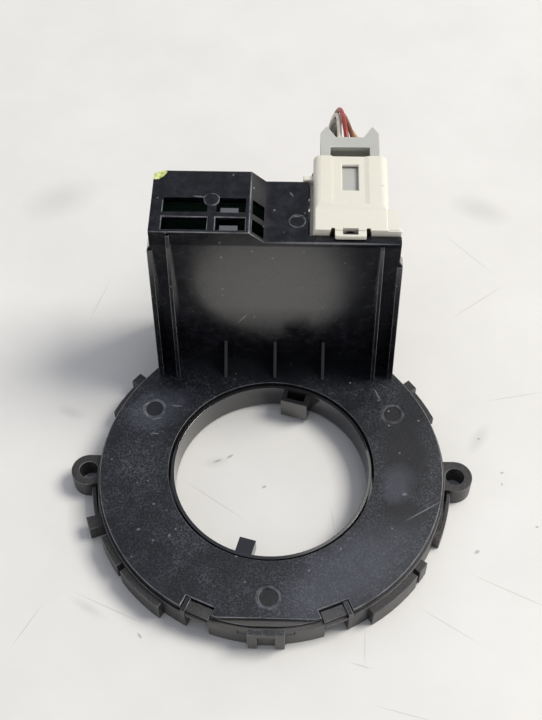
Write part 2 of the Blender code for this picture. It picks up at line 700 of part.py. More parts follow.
def stiffeners():
    """Side toes, full-height ribs and low gussets on the tower's front."""
    def rib(x, thickness, top, toe, reach):
        back = FRONT_WALL / 2
        outline = [
            (toe, COVER_UNDERSIDE + COVER_THICKNESS / 2), (toe, RING_HEIGHT + 0.0003),
            (front_face(top) - reach, top), (front_face(top) + back, top),
            (front_face(RING_HEIGHT) + back, COVER_UNDERSIDE + COVER_THICKNESS / 2),
        ]
        return web(outline, x - thickness / 2, x + thickness / 2)

    half = TOWER_WALL / 2
    pieces = [
        rib(TOWER_LEFT + half, TOWER_WALL, EDGE_LEFT, SIDE_TOE_Y, RIB_TOP_REACH),
        rib(TOWER_RIGHT - half, TOWER_WALL, EDGE_RIGHT, SIDE_TOE_Y, RIB_TOP_REACH),
        rib(RIB_LEFT, RIB_THICKNESS, TOWER_HIGH - 0.0010, TOE_Y, RIB_TOP_REACH),
        rib(RIB_RIGHT, RIB_THICKNESS, TOWER_LOW - 0.0006, TOE_Y, RIB_TOP_REACH),
    ]
    pieces += [rib(x, GUSSET_THICKNESS, RING_HEIGHT + GUSSET_HEIGHT, TOE_Y, 0.0001) for x in GUSSET_XS]
    return pieces


def board_rails():
    """Pairs of ribs inside the side walls, which hold the main board upright."""
    pieces = []
    low = COVER_UNDERSIDE
    left = TOWER_LEFT + TOWER_WALL
    right = TOWER_RIGHT - TOWER_WALL
    for start in (BOARD_FRONT - SEAT - RAIL_WIDTH, BOARD_BACK + SEAT):
        ys = (start, start + RAIL_WIDTH)
        pieces.append(block((left - 0.0004, left + RAIL_DEPTH), ys, (low, TOWER_HIGH - 0.0070)))
        pieces.append(block((right - RAIL_DEPTH, right + 0.0004), ys,
                            (low, CORNER_FLOOR - PARTITION + 0.0004)))
    return pieces


def window_ledges():
    """Catches that show below the front edges of the two right-hand windows."""
    xs = (WINDOW_RIGHT[0] + 0.0008, WINDOW_RIGHT[1] - 0.0018)
    low = TOWER_HIGH - 0.0042
    top = TOWER_HIGH - 0.0022
    front = WINDOW_ROWS[0][0]
    rear = WINDOW_ROWS[1][0]
    return [
        block(xs, (front - 0.0006, front + 0.0014), (low, top)),
        block(xs, (rear - 0.0014, rear + 0.0012), (low, top)),
        block(xs, (rear - 0.0014, rear - 0.0002), (low, TOWER_HIGH - ROOF / 2)),
    ]


def window_cutters():
    high = (TOWER_LOW - ROOF - 0.0012, TOWER_HIGH + OVERCUT)
    return [block(xs, ys, (TOWER_HIGH - ROOF - 0.0010, high[1])) for ys in WINDOW_ROWS
            for xs in (WINDOW_LEFT, WINDOW_RIGHT)] + [
        block(WINDOW_SLANT, ys, high) for ys in WINDOW_ROWS]


def mark_cutters():
    """Round moulding marks: a shallow outer ring around a deeper disc."""
    pieces = []
    high = RING_HEIGHT + OVERCUT
    for angle in MARK_ANGLES:
        place = polar(COVER_RADIUS - MARK_INSET, angle)
        pieces.append(post(MARK_OUTER, RING_HEIGHT - MARK_OUTER_DEPTH, high, place, 24))
        pieces.append(post(MARK_INNER, RING_HEIGHT - MARK_INNER_DEPTH, high, place, 24))
    place = (POCKET_LEFT - 0.0028, POCKET_FRONT + 0.00485)
    pieces.append(post(ROOF_MARK_RADIUS, TOWER_LOW - ROOF_MARK_HEIGHT, TOWER_LOW + OVERCUT, place, 20))
    return pieces


def upper_casing(surface):
    body = prism(circle(COVER_RADIUS), COVER_UNDERSIDE, RING_HEIGHT)
    skirt = post(BORE_RADIUS + BORE_LIP, GEAR_TOP + SEAT, RING_HEIGHT - COVER_THICKNESS / 2,
                 count=RING_FACETS)
    boss = post(ROOF_MARK_RADIUS, TOWER_HIGH - ROOF, TOWER_HIGH + ROOF_MARK_HEIGHT, ROOF_BOSS, 20)
    fuse(body, skirt, tower_shell())
    cut(body, tower_cavity())
    hole_xs, hole_ys = housing_spans(*SNAP_HOLE)
    nub = block((hole_xs[0] + SEAT, hole_xs[1] - SEAT), (hole_ys[0] + SEAT, POCKET_FRONT - CLEAR / 2),
                (TOWER_LOW - 0.0005, TOWER_LOW + SNAP_ARM_THICKNESS - CLEAR))
    cut(body, *window_cutters())
    fuse(body, boss, nub, *stiffeners(), *board_rails(), *window_ledges())
    pocket = block((POCKET_LEFT, TOWER_RIGHT + OVERCUT), (POCKET_FRONT, TOWER_BACK + OVERCUT),
                   (POCKET_FLOOR, TOWER_HIGH))
    corner = block((CORNER_LEFT, TOWER_RIGHT + OVERCUT), (CORNER_FRONT, TOWER_BACK + OVERCUT),
                   (CORNER_FLOOR, TOWER_HIGH))
    row = terminal_xs()
    slot = block((row[0] - 0.0010, row[-1] + 0.0010), (TERMINAL_DROP_Y - 0.0010, TERMINAL_DROP_Y + 0.0010),
                 (POCKET_FLOOR - PARTITION - OVERCUT, POCKET_FLOOR + OVERCUT))
    chord = block((-CHORD_HALF, CHORD_HALF), (-COVER_RADIUS - OVERCUT, CHORD_DEPTH - COVER_RADIUS),
                  (RING_HEIGHT - CHORD_STEP, RING_HEIGHT + OVERCUT))
    notches = [turned_block(270.0 + side * NOTCH_ANGLE, (COVER_RADIUS - NOTCH_DEPTH, COVER_RADIUS + OVERCUT),
                            NOTCH_WIDTH / 2, (COVER_UNDERSIDE - OVERCUT, RING_HEIGHT + OVERCUT))
               for side in (-1, 1)]
    clip_slot = block((-CLIP_WIDTH / 2, CLIP_WIDTH / 2), (-COVER_RADIUS - OVERCUT, CLIP_SLOT - CLIP_BACK),
                      (COVER_UNDERSIDE - OVERCUT, RING_HEIGHT + OVERCUT))
    front = sector(FRONT_COVER_RADIUS, COVER_RADIUS + OVERCUT, 270.0 - FRONT_HALF_ANGLE,
                   270.0 + FRONT_HALF_ANGLE, COVER_UNDERSIDE - OVERCUT, RING_HEIGHT + OVERCUT)
    bore = post(BORE_RADIUS, 0.0, RING_HEIGHT + OVERCUT, count=RING_FACETS)
    cut(body, pocket, corner, slot, chord, clip_slot, front, bore, *notches, *mark_cutters())
    return finish(body, "upper_casing", surface)


def tower_back_cover(surface):
    """The plate that closes the tower's open back, with pads that press on the board."""
    gap = SEAT
    inner_corner = CORNER_LEFT - PARTITION
    inner_pocket = POCKET_LEFT - PARTITION
    left = TOWER_LEFT + TOWER_WALL + gap
    outline = [
        (left, COVER_UNDERSIDE), (TOWER_RIGHT - TOWER_WALL - gap, COVER_UNDERSIDE),
        (TOWER_RIGHT - TOWER_WALL - gap, CORNER_FLOOR - PARTITION - gap),
        (inner_corner - gap, CORNER_FLOOR - PARTITION - gap),
        (inner_corner - gap, POCKET_FLOOR - PARTITION - gap),
        (inner_pocket - gap, POCKET_FLOOR - PARTITION - gap),
        (inner_pocket - gap, TOWER_LOW - ROOF - gap),
        (SLANT_RIGHT - ROOF * 0.4 - gap, TOWER_LOW - ROOF - gap),
        (SLANT_LEFT - ROOF * 0.4 - gap, TOWER_HIGH - ROOF - gap),
        (left + TOWER_EDGE_STEP, TOWER_HIGH - ROOF - gap),
        (left + TOWER_EDGE_STEP, EDGE_LEFT + EDGE_SLOPE - gap), (left, EDGE_LEFT - gap),
    ]
    back = TOWER_BACK - BACK_CORNER * 0.1
    front = back - REAR_COVER
    plate = slab(outline, front, back)
    outer_pad = TOWER_LEFT + PAD_INSET
    low_pad = COVER_UNDERSIDE + PAD_INSET
    high_pad = TOWER_LOW - PAD_INSET
    places = ((outer_pad, low_pad), (outer_pad, high_pad), (inner_pocket - PAD_INSET, high_pad),
              (TOWER_RIGHT - PAD_INSET, low_pad))
    pads = [slab(circle(PAD_RADIUS, place, 12), BOARD_BACK + SEAT, front + REAR_COVER / 2)
            for place in places]
    fuse(plate, *pads)
    panel_xs = (TOWER_LEFT + PANEL_INSET, inner_pocket - PANEL_INSET)
    panel_zs = (COVER_UNDERSIDE + PANEL_INSET, TOWER_LOW - PANEL_INSET)
    cut(plate, block(panel_xs, (back - PANEL_DEPTH, back + OVERCUT), panel_zs))
    spacing = (panel_zs[1] - panel_zs[0]) / (REAR_RIBS + 1)
    rib_zs = [panel_zs[0] + spacing * i for i in range(1, REAR_RIBS + 1)]
    rib_xs = (panel_xs[0] - PANEL_DEPTH, panel_xs[1] + PANEL_DEPTH)
    ribs = [block(rib_xs, (back - PANEL_DEPTH * 2, back), (z - RIB_THICKNESS / 2, z + RIB_THICKNESS / 2))
            for z in rib_zs]
    fuse(plate, *ribs)
    plan = rounded_back(TOWER_LEFT, TOWER_RIGHT, FOOT_FRONT, TOWER_BACK, BACK_CORNER)
    common(plate, prism(plan, 0.0, TOWER_HIGH))
    return finish(plate, "tower_back_cover", surface)


def rotor_ring(surface, parent):
    first_tooth = 90.0 + GEAR_SPREAD + 180.0 / ROTOR_TEETH
    body = prism(gear_outline(ROTOR_TEETH, (0.0, 0.0), first_tooth), GEAR_BOTTOM, GEAR_TOP)
    sleeve = post(ROTOR_OUTER, ROTOR_BOTTOM, ROTOR_TOP, count=RING_FACETS)
    fuse(body, sleeve)
    cut(body, post(ROTOR_INNER, 0.0, RING_HEIGHT, count=RING_FACETS))
    root = ROTOR_INNER + ROTOR_WALL / 2
    tab = turned_block(TAB_ANGLE, (ROTOR_INNER - TAB_REACH, root), TAB_WIDTH / 2,
                       (TAB_BOTTOM, ROTOR_TOP - SEAT))
    tongue_top = RING_HEIGHT - TONGUE_DROP
    tongue = turned_block(TAB_ANGLE + 180.0, (ROTOR_INNER - TONGUE_REACH, root), TONGUE_WIDTH / 2,
                          (tongue_top - TONGUE_HEIGHT, tongue_top))
    fuse(body, tab, tongue)
    hollow = turned_block(TAB_ANGLE, (ROTOR_INNER - TAB_REACH + TAB_WALL, ROTOR_INNER - CLEAR),
                          TAB_WIDTH / 2 - TAB_WALL, (TAB_BOTTOM + TAB_WALL, RING_HEIGHT))
    cut(body, hollow)
    return finish(body, "rotor_ring", surface, parent)


def detection_gear(name, teeth, side, surface, parent):
    """A small gear with a hub that holds its magnet, on a pin of the base."""
    middle = gear_centre(teeth, side)
    towards_rotor = 270.0 + side * GEAR_SPREAD
    body = prism(gear_outline(teeth, middle, towards_rotor), GEAR_BOTTOM, GEAR_TOP)
    fuse(body, post(HUB_RADIUS, GEAR_BOTTOM + 0.0005, HUB_TOP, middle, 32))
    bore = post(PIN_RADIUS + SEAT, 0.0, PIN_TOP + SEAT, middle, 16)
    magnet_bed = HUB_TOP - MAGNET_HEIGHT - SEAT - 0.0001
    bed = post(MAGNET_RADIUS + SEAT, magnet_bed, HUB_TOP + OVERCUT, middle, 32)
    cut(body, bore, bed)
    return finish(body, name, surface, parent)


def magnet(name, teeth, side, surface, parent):
    middle = gear_centre(teeth, side)
    top = HUB_TOP - 0.0001
    return finish(post(MAGNET_RADIUS, top - MAGNET_HEIGHT, top, middle, 32), name, surface, parent)


def sensor_board(surface):
    front = front_face(SENSOR_BOARD_TOP) + FRONT_WALL + SEAT * 2
    plate = block((-SENSOR_BOARD_HALF, SENSOR_BOARD_HALF), (front, SENSOR_BOARD_BACK),
                  (SENSOR_BOARD_BOTTOM, SENSOR_BOARD_TOP))
    return finish(plate, "sensor_board", surface)


def sensor_chip(name, teeth, side, surface):
    """A magnetic sensor on the underside of the sensor board, above its magnet."""
    middle = gear_centre(teeth, side)
    wide, deep, thick = SENSOR_IC
    top = SENSOR_BOARD_BOTTOM - SEAT
    front = front_face(top) + FRONT_WALL + SEAT
    ys = (max(middle[1] - deep / 2, front), max(middle[1] - deep / 2, front) + deep)
    chip = block((middle[0] - wide / 2, middle[0] + wide / 2), ys, (top - thick, top))
    return finish(chip, name, surface)


def main_board(surface):
    left = TOWER_LEFT + TOWER_WALL + SEAT
    right = TOWER_RIGHT - TOWER_WALL - SEAT
    inner_corner = CORNER_LEFT - PARTITION - SEAT * 2
    inner_pocket = POCKET_LEFT - PARTITION - SEAT * 2
    outline = [
        (left, BOARD_BOTTOM), (right, BOARD_BOTTOM), (right, CORNER_FLOOR - PARTITION - SEAT * 2),
        (inner_corner, CORNER_FLOOR - PARTITION - SEAT * 2),
        (inner_corner, POCKET_FLOOR - PARTITION - SEAT * 2),
        (inner_pocket, POCKET_FLOOR - PARTITION - SEAT * 2),
        (inner_pocket, TOWER_LOW - ROOF - 0.0020), (left, TOWER_LOW - ROOF - 0.0020),
    ]
    return finish(slab(outline, BOARD_FRONT, BOARD_BACK), "main_board", surface)


def board_chip(name, centre, size, surface):
    """A package on the front of the main board."""
    back = BOARD_FRONT - SEAT
    x = TOWER_LEFT + centre[0]
    z = centre[1]
    wide, high, deep = size
    chip = block((x - wide / 2, x + wide / 2), (back - deep, back), (z - high / 2, z + high / 2))
    return finish(chip, name, surface)


def buffer_capacitor(name, inset, surface):
    """A round capacitor that lies with its base on the main board."""
    back = BOARD_FRONT - SEAT
    middle = (TOWER_LEFT + inset, CAPACITOR_Z)
    return finish(slab(circle(CAPACITOR_RADIUS, middle, 20), back - CAPACITOR_LENGTH, back), name, surface)


def terminal_xs():
    middle = (TERMINAL_COUNT - 1) / 2
    return [HOUSING_MIDDLE + (i - middle) * TERMINAL_PITCH for i in range(TERMINAL_COUNT)]


def board_link(surface):
    """A strip of bent pins that joins the sensor board to the main board."""
    half = TERMINAL_SIZE / 2
    foot = SENSOR_BOARD_TOP + SEAT
    y = SENSOR_BOARD_BACK - LINK_SETBACK
    top = foot + LINK_HEIGHT
    outline = [
        (y - half, foot), (y + half, foot), (y + half, top - half), (BOARD_FRONT - SEAT, top - half),
        (BOARD_FRONT - SEAT, top + half), (y - half, top + half),
    ]
    xs = [(i - (LINK_COUNT - 1) / 2) * LINK_PITCH for i in range(LINK_COUNT)]
    strip = block((xs[0] - LINK_PITCH / 2, xs[-1] + LINK_PITCH / 2), (y - 0.0011, y + 0.0011),
                  (foot + 0.0004, foot + 0.0022))
    fuse(strip, *[web(outline, x - half, x + half) for x in xs])
    return finish(strip, "board_link", surface)


def terminal_outline(grow, tip, foot):
    """Side view of a terminal: out of the mouth, down, and back to the main board."""
    half = TERMINAL_SIZE / 2 + grow
    y = TERMINAL_DROP_Y
    return [
        (foot, TERMINAL_LOW_Z - half), (foot, TERMINAL_LOW_Z + half),
        (y + half, TERMINAL_LOW_Z + half), (y + half, TERMINAL_Z - half), (tip, TERMINAL_Z - half),
        (tip, TERMINAL_Z + half), (y - half, TERMINAL_Z + half), (y - half, TERMINAL_LOW_Z - half),
    ]


def connector_terminal(name, x, surface):
    half = TERMINAL_SIZE / 2
    outline = terminal_outline(0.0, TERMINAL_TIP, BOARD_FRONT - SEAT)
    return finish(web(outline, x - half, x + half), name, surface)


def rounded_top(left, right, bottom, top, radius):
    """A front view with square lower corners and round upper ones."""
    steps = 5
    points = [(left, bottom), (right, bottom)]
    for middle, start in (((right - radius, top - radius), 0.0), ((left + radius, top - radius), 90.0)):
        points += [polar(radius, start + 90.0 * i / steps, middle) for i in range(steps + 1)]
    return points


def housing_spans(xs, ys):
    """Turns spans from the receptacle's left front corner into places."""
    return [HOUSING_LEFT + x for x in xs], [HOUSING_FRONT + y for y in ys]


def connector_housing(surface):
    """The white receptacle: base block, mouth hood, flange, wing, rail and snap arm."""
    front_view = rounded_top(HOUSING_LEFT, HOUSING_RIGHT, HOUSING_BOTTOM, HOUSING_TOP, HOUSING_CORNER)
    ridge = HOUSING_FRONT + RIDGE_SETBACK
    high = HOUSING_TOP + OVERCUT
    side_view = [
        (HOUSING_FRONT, HOUSING_BOTTOM - OVERCUT), (HOUSING_BACK, HOUSING_BOTTOM - OVERCUT),
        (HOUSING_BACK, high), (ridge, high), (ridge, HOUSING_TOP - CLEAR / 10),
        (ridge - RIDGE_RUN, HOUSING_BASE_TOP), (HOUSING_FRONT, HOUSING_BASE_TOP),
    ]
    body = slab(front_view, HOUSING_FRONT - OVERCUT, HOUSING_BACK + OVERCUT)
    common(body, web(side_view, HOUSING_LEFT - OVERCUT, HOUSING_RIGHT + OVERCUT))
    rim = HOUSING_RIM
    wing_top = HOUSING_BASE_TOP - rim / 2
    arm_bottom = TOWER_LOW + SEAT
    arm_xs, arm_ys = housing_spans(SNAP_ARM, (-SNAP_ARM_REACH, rim))
    additions = [
        block((HOUSING_LEFT + rim, HOUSING_RIGHT + FLANGE_REACH),
              (HOUSING_FRONT, HOUSING_FRONT + FLANGE_THICKNESS), (HOUSING_BOTTOM, HOUSING_BASE_TOP - rim)),
        block((HOUSING_RIGHT - rim, HOUSING_RIGHT + WING_REACH),
              (HOUSING_FRONT + rim, HOUSING_FRONT + WING_LENGTH), (wing_top - WING_THICKNESS, wing_top)),
        block((POCKET_LEFT + SEAT, HOUSING_LEFT + rim), (HOUSING_FRONT + FLANGE_THICKNESS, TOWER_BACK + SEAT),
              (TOWER_LOW - 0.0055, TOWER_LOW - 0.0015)),
        block((POCKET_LEFT - 0.0015, HOUSING_LEFT + rim), (TOWER_BACK + SEAT, TOWER_BACK + 0.0018),
              (TOWER_LOW - 0.0070, TOWER_LOW + 0.0003)),
        block(arm_xs, arm_ys, (arm_bottom, arm_bottom + SNAP_ARM_THICKNESS)),
    ]
    fuse(body, *additions)
    mouth = block((MOUTH_LEFT, MOUTH_RIGHT), (MOUTH_FRONT, HOUSING_BACK + OVERCUT), (MOUTH_BOTTOM, MOUTH_TOP))
    window = block(*housing_spans(*LATCH_WINDOW), (MOUTH_TOP - OVERCUT, high))
    band = block((HOUSING_LEFT + BAND_INSET, HOUSING_RIGHT - BAND_INSET), (ridge, HOUSING_BACK + OVERCUT),
                 (HOUSING_TOP - BAND_DEPTH, high))
    hole = block(*housing_spans(*SNAP_HOLE), (TOWER_LOW, high))
    slit_ys = (arm_ys[0] - OVERCUT, arm_ys[0] + SNAP_SLIT_LENGTH)
    slits = [block(xs, slit_ys, (TOWER_LOW - OVERCUT, high))
             for xs in ((arm_xs[0] - SNAP_SLIT, arm_xs[0]), (arm_xs[1], arm_xs[1] + SNAP_SLIT))]
    outline = terminal_outline(SEAT, MOUTH_FRONT + OVERCUT, TERMINAL_DROP_Y)
    channels = [web(outline, x - TERMINAL_SIZE / 2 - SEAT, x + TERMINAL_SIZE / 2 + SEAT)
                for x in terminal_xs()]
    cut(body, mouth, window, band, hole, *slits, *channels)
    return finish(body, "connector_housing", surface)


def plug_place(distance):
    """A place along the plug, measured from the receptacle's rear end."""
    return HOUSING_BACK + distance


def plug_top_plan():
    """Plan of the plug's top: two rails, the bar across them and the two rear horns."""
    middle = (PLUG_LEFT + PLUG_RIGHT) / 2
    rail = PLUG_LEFT + PLUG_RAIL
    left = [
        (PLUG_LEFT, plug_place(PLUG_OPENING)), (rail, plug_place(PLUG_OPENING)),
        (rail, plug_place(PLUG_BAR)),
    ]
    left_rear = [
        (PLUG_LEFT + PLUG_VALLEY_INSET, plug_place(PLUG_VALLEY)),
        (PLUG_LEFT + PLUG_HORN_INSET, plug_place(PLUG_HORN)), (PLUG_LEFT, plug_place(PLUG_SHOULDER)),
    ]
    right = [(2 * middle - x, y) for x, y in reversed(left)]
    right_rear = [(2 * middle - x, y) for x, y in reversed(left_rear)]
    return left + right + right_rear + left_rear


def plug_housing(surface):
    """The grey plug: terminal block, side rails, bar with horns, and the latch arm."""
    body_ys = (PLUG_FRONT, plug_place(PLUG_BODY_END))
    body = block((PLUG_LEFT, PLUG_RIGHT), body_ys, (PLUG_BOTTOM, PLUG_BODY_TOP))
    bridge_low = PLUG_TOP - PLUG_BRIDGE
    bridge = prism(plug_top_plan(), bridge_low, PLUG_TOP)
    rail_ys = (plug_place(PLUG_OPENING), plug_place(PLUG_SHOULDER) - 0.0004)
    rails = [block(sorted((x, x + side * (PLUG_RAIL - 0.0006))), rail_ys,
                   (PLUG_BODY_TOP - 0.0010, bridge_low + 0.0004))
             for x, side in ((PLUG_LEFT, 1), (PLUG_RIGHT, -1))]
    thick = PLUG_LATCH_THICKNESS
    opening = plug_place(PLUG_OPENING)
    end = plug_place(PLUG_LATCH_END)
    tail = PLUG_TOP - PLUG_LATCH_FALL
    arm = [
        (PLUG_FRONT + 0.0010, PLUG_BODY_TOP - 0.0005), (PLUG_FRONT + 0.0030, PLUG_BODY_TOP - 0.0005),
        (PLUG_FRONT + 0.0038, PLUG_TOP - thick), (opening, PLUG_TOP - thick), (end, tail),
        (end, tail + thick), (opening, PLUG_TOP), (PLUG_FRONT + 0.0032, PLUG_TOP),
    ]
    fuse(body, bridge, web(arm, *[HOUSING_LEFT + x for x in PLUG_LATCH]), *rails)
    half = PLUG_CAVITY / 2
    tall = CONTACT_HALF_HEIGHT + SEAT
    cavities = [block((x - half, x + half), (body_ys[0] - OVERCUT, body_ys[1] + OVERCUT),
                      (TERMINAL_Z - tall, TERMINAL_Z + tall)) for x in terminal_xs()]
    cut(body, *cavities)
    return finish(body, "plug_housing", surface)


def plug_contact(name, x, surface):
    """A forked contact that straddles a terminal, with the crimp that holds its wire."""
    gap = TERMINAL_SIZE / 2 + SEAT
    half = CRIMP_SIZE / 2
    front = PLUG_FRONT + 0.0006
    end = plug_place(CRIMP_END)
    fork = [
        (front, gap), (TERMINAL_TIP + SEAT, gap), (TERMINAL_TIP + SEAT, -gap), (front, -gap),
        (front, -CONTACT_HALF_HEIGHT), (TERMINAL_TIP + 0.0040, -CONTACT_HALF_HEIGHT),
        (TERMINAL_TIP + 0.0044, -half), (end, -half), (end, half), (TERMINAL_TIP + 0.0044, half),
        (TERMINAL_TIP + 0.0040, CONTACT_HALF_HEIGHT), (front, CONTACT_HALF_HEIGHT),
    ]
    outline = [(y, TERMINAL_Z + z) for y, z in fork]
    return finish(web(outline, x - 0.0005, x + 0.0005), name, surface)


def route_point(position):
    """The wire route at a position counted in route points, on a Catmull-Rom curve."""
    last = len(WIRE_ROUTE) - 1
    index = min(int(position), last - 1)
    t = position - index
    a, b, c, d = (WIRE_ROUTE[min(max(index + k, 0), last)] for k in (-1, 0, 1, 2))
    return [0.5 * (2 * q + (r - p) * t + (2 * p - 5 * q + 4 * r - s) * t * t
                   + (3 * q - p - 3 * r + s) * t * t * t) for p, q, r, s in zip(a, b, c, d)]


def wire_offset(index, bunching):
    """Where a wire lies beside and above the middle of the bundle."""
    count = TERMINAL_COUNT - 1
    row = (index - count / 2) * TERMINAL_PITCH
    table = (index - count / 2) * TABLE_PITCH
    across, up = BUNCH[index]
    if bunching <= 1.0:
        return row + (across - row) * bunching, up * min(1.0, 2.0 * bunching)
    spread = bunching - 1.0
    return across + (table - across) * spread, up * min(1.0, 2.0 * (1.0 - spread))


def wire_points(index):
    last = len(WIRE_ROUTE) - 1
    points = []
    for step in range(WIRE_POINTS):
        position = last * step / (WIRE_POINTS - 1)
        x, y, z, bunching, turn = route_point(position)
        ahead = route_point(min(position + 0.05, last))
        behind = route_point(max(position - 0.05, 0.0))
        heading = Vector(ahead[:3]) - Vector(behind[:3])
        heading.normalize()
        side = Vector((math.cos(math.radians(turn)), math.sin(math.radians(turn)), 0.0))
        side = (side - heading * side.dot(heading)).normalized()
        across, up = wire_offset(index, bunching)
        points.append(Vector((x, y, z)) + side * across + side.cross(heading) * up)
    return points


def wire(name, index, surface):
    curve = bpy.data.curves.new(name, "CURVE")
    curve.dimensions = "3D"
    curve.bevel_depth = WIRE_RADIUS
    curve.bevel_resolution = 2
    curve.use_fill_caps = True
    points = wire_points(index)
    spline = curve.splines.new("POLY")
    spline.points.add(len(points) - 1)
    for target, point in zip(spline.points, points):
        target.co = (*point, 1.0)
    curve.materials.append(surface)
    made = bpy.data.objects.new(name, curve)
    bpy.context.scene.collection.objects.link(made)
    return made


def build():
    clear_scene()
    black = material("black_pbt", (0.020, 0.021, 0.025), 0.34)
    white = material("ivory_pbt", (0.86, 0.84, 0.78), 0.45)
    grey = material("grey_plug_plastic", (0.55, 0.55, 0.52), 0.50)
    rotor_black = material("black_pom", (0.030, 0.030, 0.034), 0.30)
    gear_white = material("natural_pom", (0.85, 0.84, 0.78), 0.35)
    magnet_grey = material("ferrite", (0.10, 0.10, 0.11), 0.55)
    board_green = material("circuit_board", (0.03, 0.17, 0.08), 0.40)
    chip_black = material("chip_epoxy", (0.025, 0.025, 0.028), 0.60)
    can_metal = material("aluminium_can", (0.75, 0.76, 0.78), 0.30, 1.0)
    tin = material("tinned_brass", (0.72, 0.70, 0.62), 0.28, 1.0)

    lower_casing(black)
    upper_casing(black)
    tower_back_cover(black)
    rotor_ring(rotor_black, pivot("rotor_axis", (0.0, 0.0, 0.0)))
    for letter, teeth, side in (("a", GEAR_A_TEETH, 1), ("b", GEAR_B_TEETH, -1)):
        axis = pivot("gear_axis_" + letter, (*gear_centre(teeth, side), 0.0))
        detection_gear("detection_gear_" + letter, teeth, side, gear_white, axis)
        magnet("magnet_" + letter, teeth, side, magnet_grey, axis)
        sensor_chip("sensor_chip_" + letter, teeth, side, chip_black)
    sensor_board(board_green)
    main_board(board_green)
    for name, centre, size in BOARD_CHIPS:
        board_chip(name, centre, size, chip_black)
    for letter, inset in CAPACITOR_INSETS:
        buffer_capacitor("buffer_capacitor_" + letter, inset, can_metal)
    board_link(tin)
    connector_housing(white)
    plug_housing(grey)
    for number, x in enumerate(terminal_xs(), 1):
        connector_terminal("terminal_%d" % number, x, tin)
        plug_contact("plug_contact_%d" % number, x, tin)
    for index, (colour, value) in enumerate(WIRE_COLOURS):
        wire("wire_" + colour, index, material(colour + "_insulation", value, 0.45))


build()
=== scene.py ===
import math

import bmesh
import bpy
from mathutils import Matrix, Vector


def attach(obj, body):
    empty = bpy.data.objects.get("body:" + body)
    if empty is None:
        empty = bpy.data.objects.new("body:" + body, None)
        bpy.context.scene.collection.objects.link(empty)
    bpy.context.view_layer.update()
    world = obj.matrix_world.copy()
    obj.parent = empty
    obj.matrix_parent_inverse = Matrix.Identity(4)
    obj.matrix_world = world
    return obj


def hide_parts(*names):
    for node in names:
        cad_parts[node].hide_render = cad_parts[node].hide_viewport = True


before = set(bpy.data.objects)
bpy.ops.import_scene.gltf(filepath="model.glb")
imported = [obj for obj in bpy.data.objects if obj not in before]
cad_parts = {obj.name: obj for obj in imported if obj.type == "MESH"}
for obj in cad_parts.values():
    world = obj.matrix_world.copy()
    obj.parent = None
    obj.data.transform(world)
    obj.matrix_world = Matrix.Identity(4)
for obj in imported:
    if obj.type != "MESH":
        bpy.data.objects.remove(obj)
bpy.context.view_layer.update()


# The table top: a sheet of pale melamine laminate, worn smooth, that the sensor lies on
# for its picture. A soft panel high on the right lights it, so the tower's shadow falls
# to the left. A weaker one overhead gives the cover its sheen, and the room is pale.
def linear(colour):
    """An sRGB hex colour as linear light, opaque."""
    parts = [int(colour[i:i + 2], 16) / 255.0 for i in (1, 3, 5)]
    return (*[p / 12.92 if p <= 0.04045 else ((p + 0.055) / 1.055) ** 2.4 for p in parts], 1.0)


def add_node(tree, kind, settings=None, links=None):
    """Adds one shader node, with its settings and what feeds its sockets."""
    node = tree.nodes.new(kind)
    for key, value in (settings or {}).items():
        if isinstance(key, int) or key in node.inputs:
            node.inputs[key].default_value = value
        else:
            setattr(node, key, value)
    for key, source in (links or {}).items():
        tree.links.new(source, node.inputs[key])
    return node


def new_material(name):
    """A new material, with its node tree, its Principled shader and its Object coordinates."""
    made = bpy.data.materials.new(name)
    made.use_nodes = True
    tree = made.node_tree
    return made, tree, tree.nodes["Principled BSDF"], add_node(tree, "ShaderNodeTexCoord").outputs["Object"]


def amount(tree, *parts):
    """How much there is of something: its parts multiplied.

    A part is a value, or a value with the low and high that it runs between and what these two
    become, 0 and 1 where nothing else is said. Below low and above high it stays level.
    """
    total = None
    for part in parts:
        if isinstance(part, tuple):
            value, low, high, *ends = part
            first, last = ends or (0.0, 1.0)
            part = add_node(tree, "ShaderNodeMapRange",
                            {"From Min": low, "From Max": high, "To Min": first, "To Max": last},
                            {"Value": value}).outputs["Result"]
        if total is not None:
            part = add_node(tree, "ShaderNodeMath", {"operation": "MULTIPLY"},
                            {0: total, 1: part}).outputs["Value"]
        total = part
    return total


def lay_over(tree, under, colour, mask, low=0.0, high=1.0, most=1.0):
    """Lays one colour over another, by none where the mask is low and by the most where it is high.

    Each colour is a hex value or the output of a node.
    """
    share = amount(tree, (mask, low, high, 0.0, most))
    mix = add_node(tree, "ShaderNodeMix", {"data_type": "RGBA"}, {0: share})
    for socket, shade in ((mix.inputs[6], under), (mix.inputs[7], colour)):
        if isinstance(shade, str):
            socket.default_value = linear(shade)
        else:
            tree.links.new(shade, socket)
    return mix.outputs[2]


def marks(tree, place, strokes):
    """A mask of small marks: each is an ellipsoid at a point, with its turn and its half sizes."""
    mask = None
    for point, turn, half_sizes in strokes:
        turned = add_node(tree, "ShaderNodeMapping", {"vector_type": "TEXTURE", "Location": point,
                                                      "Rotation": [math.radians(angle) for angle in turn],
                                                      "Scale": half_sizes}, {"Vector": place})
        spot = add_node(tree, "ShaderNodeTexGradient", {"gradient_type": "SPHERICAL"},
                        {"Vector": turned.outputs["Vector"]}).outputs["Fac"]
        if mask is not None:
            spot = add_node(tree, "ShaderNodeMath", {"operation": "MAXIMUM"},
                            {0: mask, 1: spot}).outputs["Value"]
        mask = spot
    return mask


laminate, tree, shader, place = new_material("worn_white_laminate")
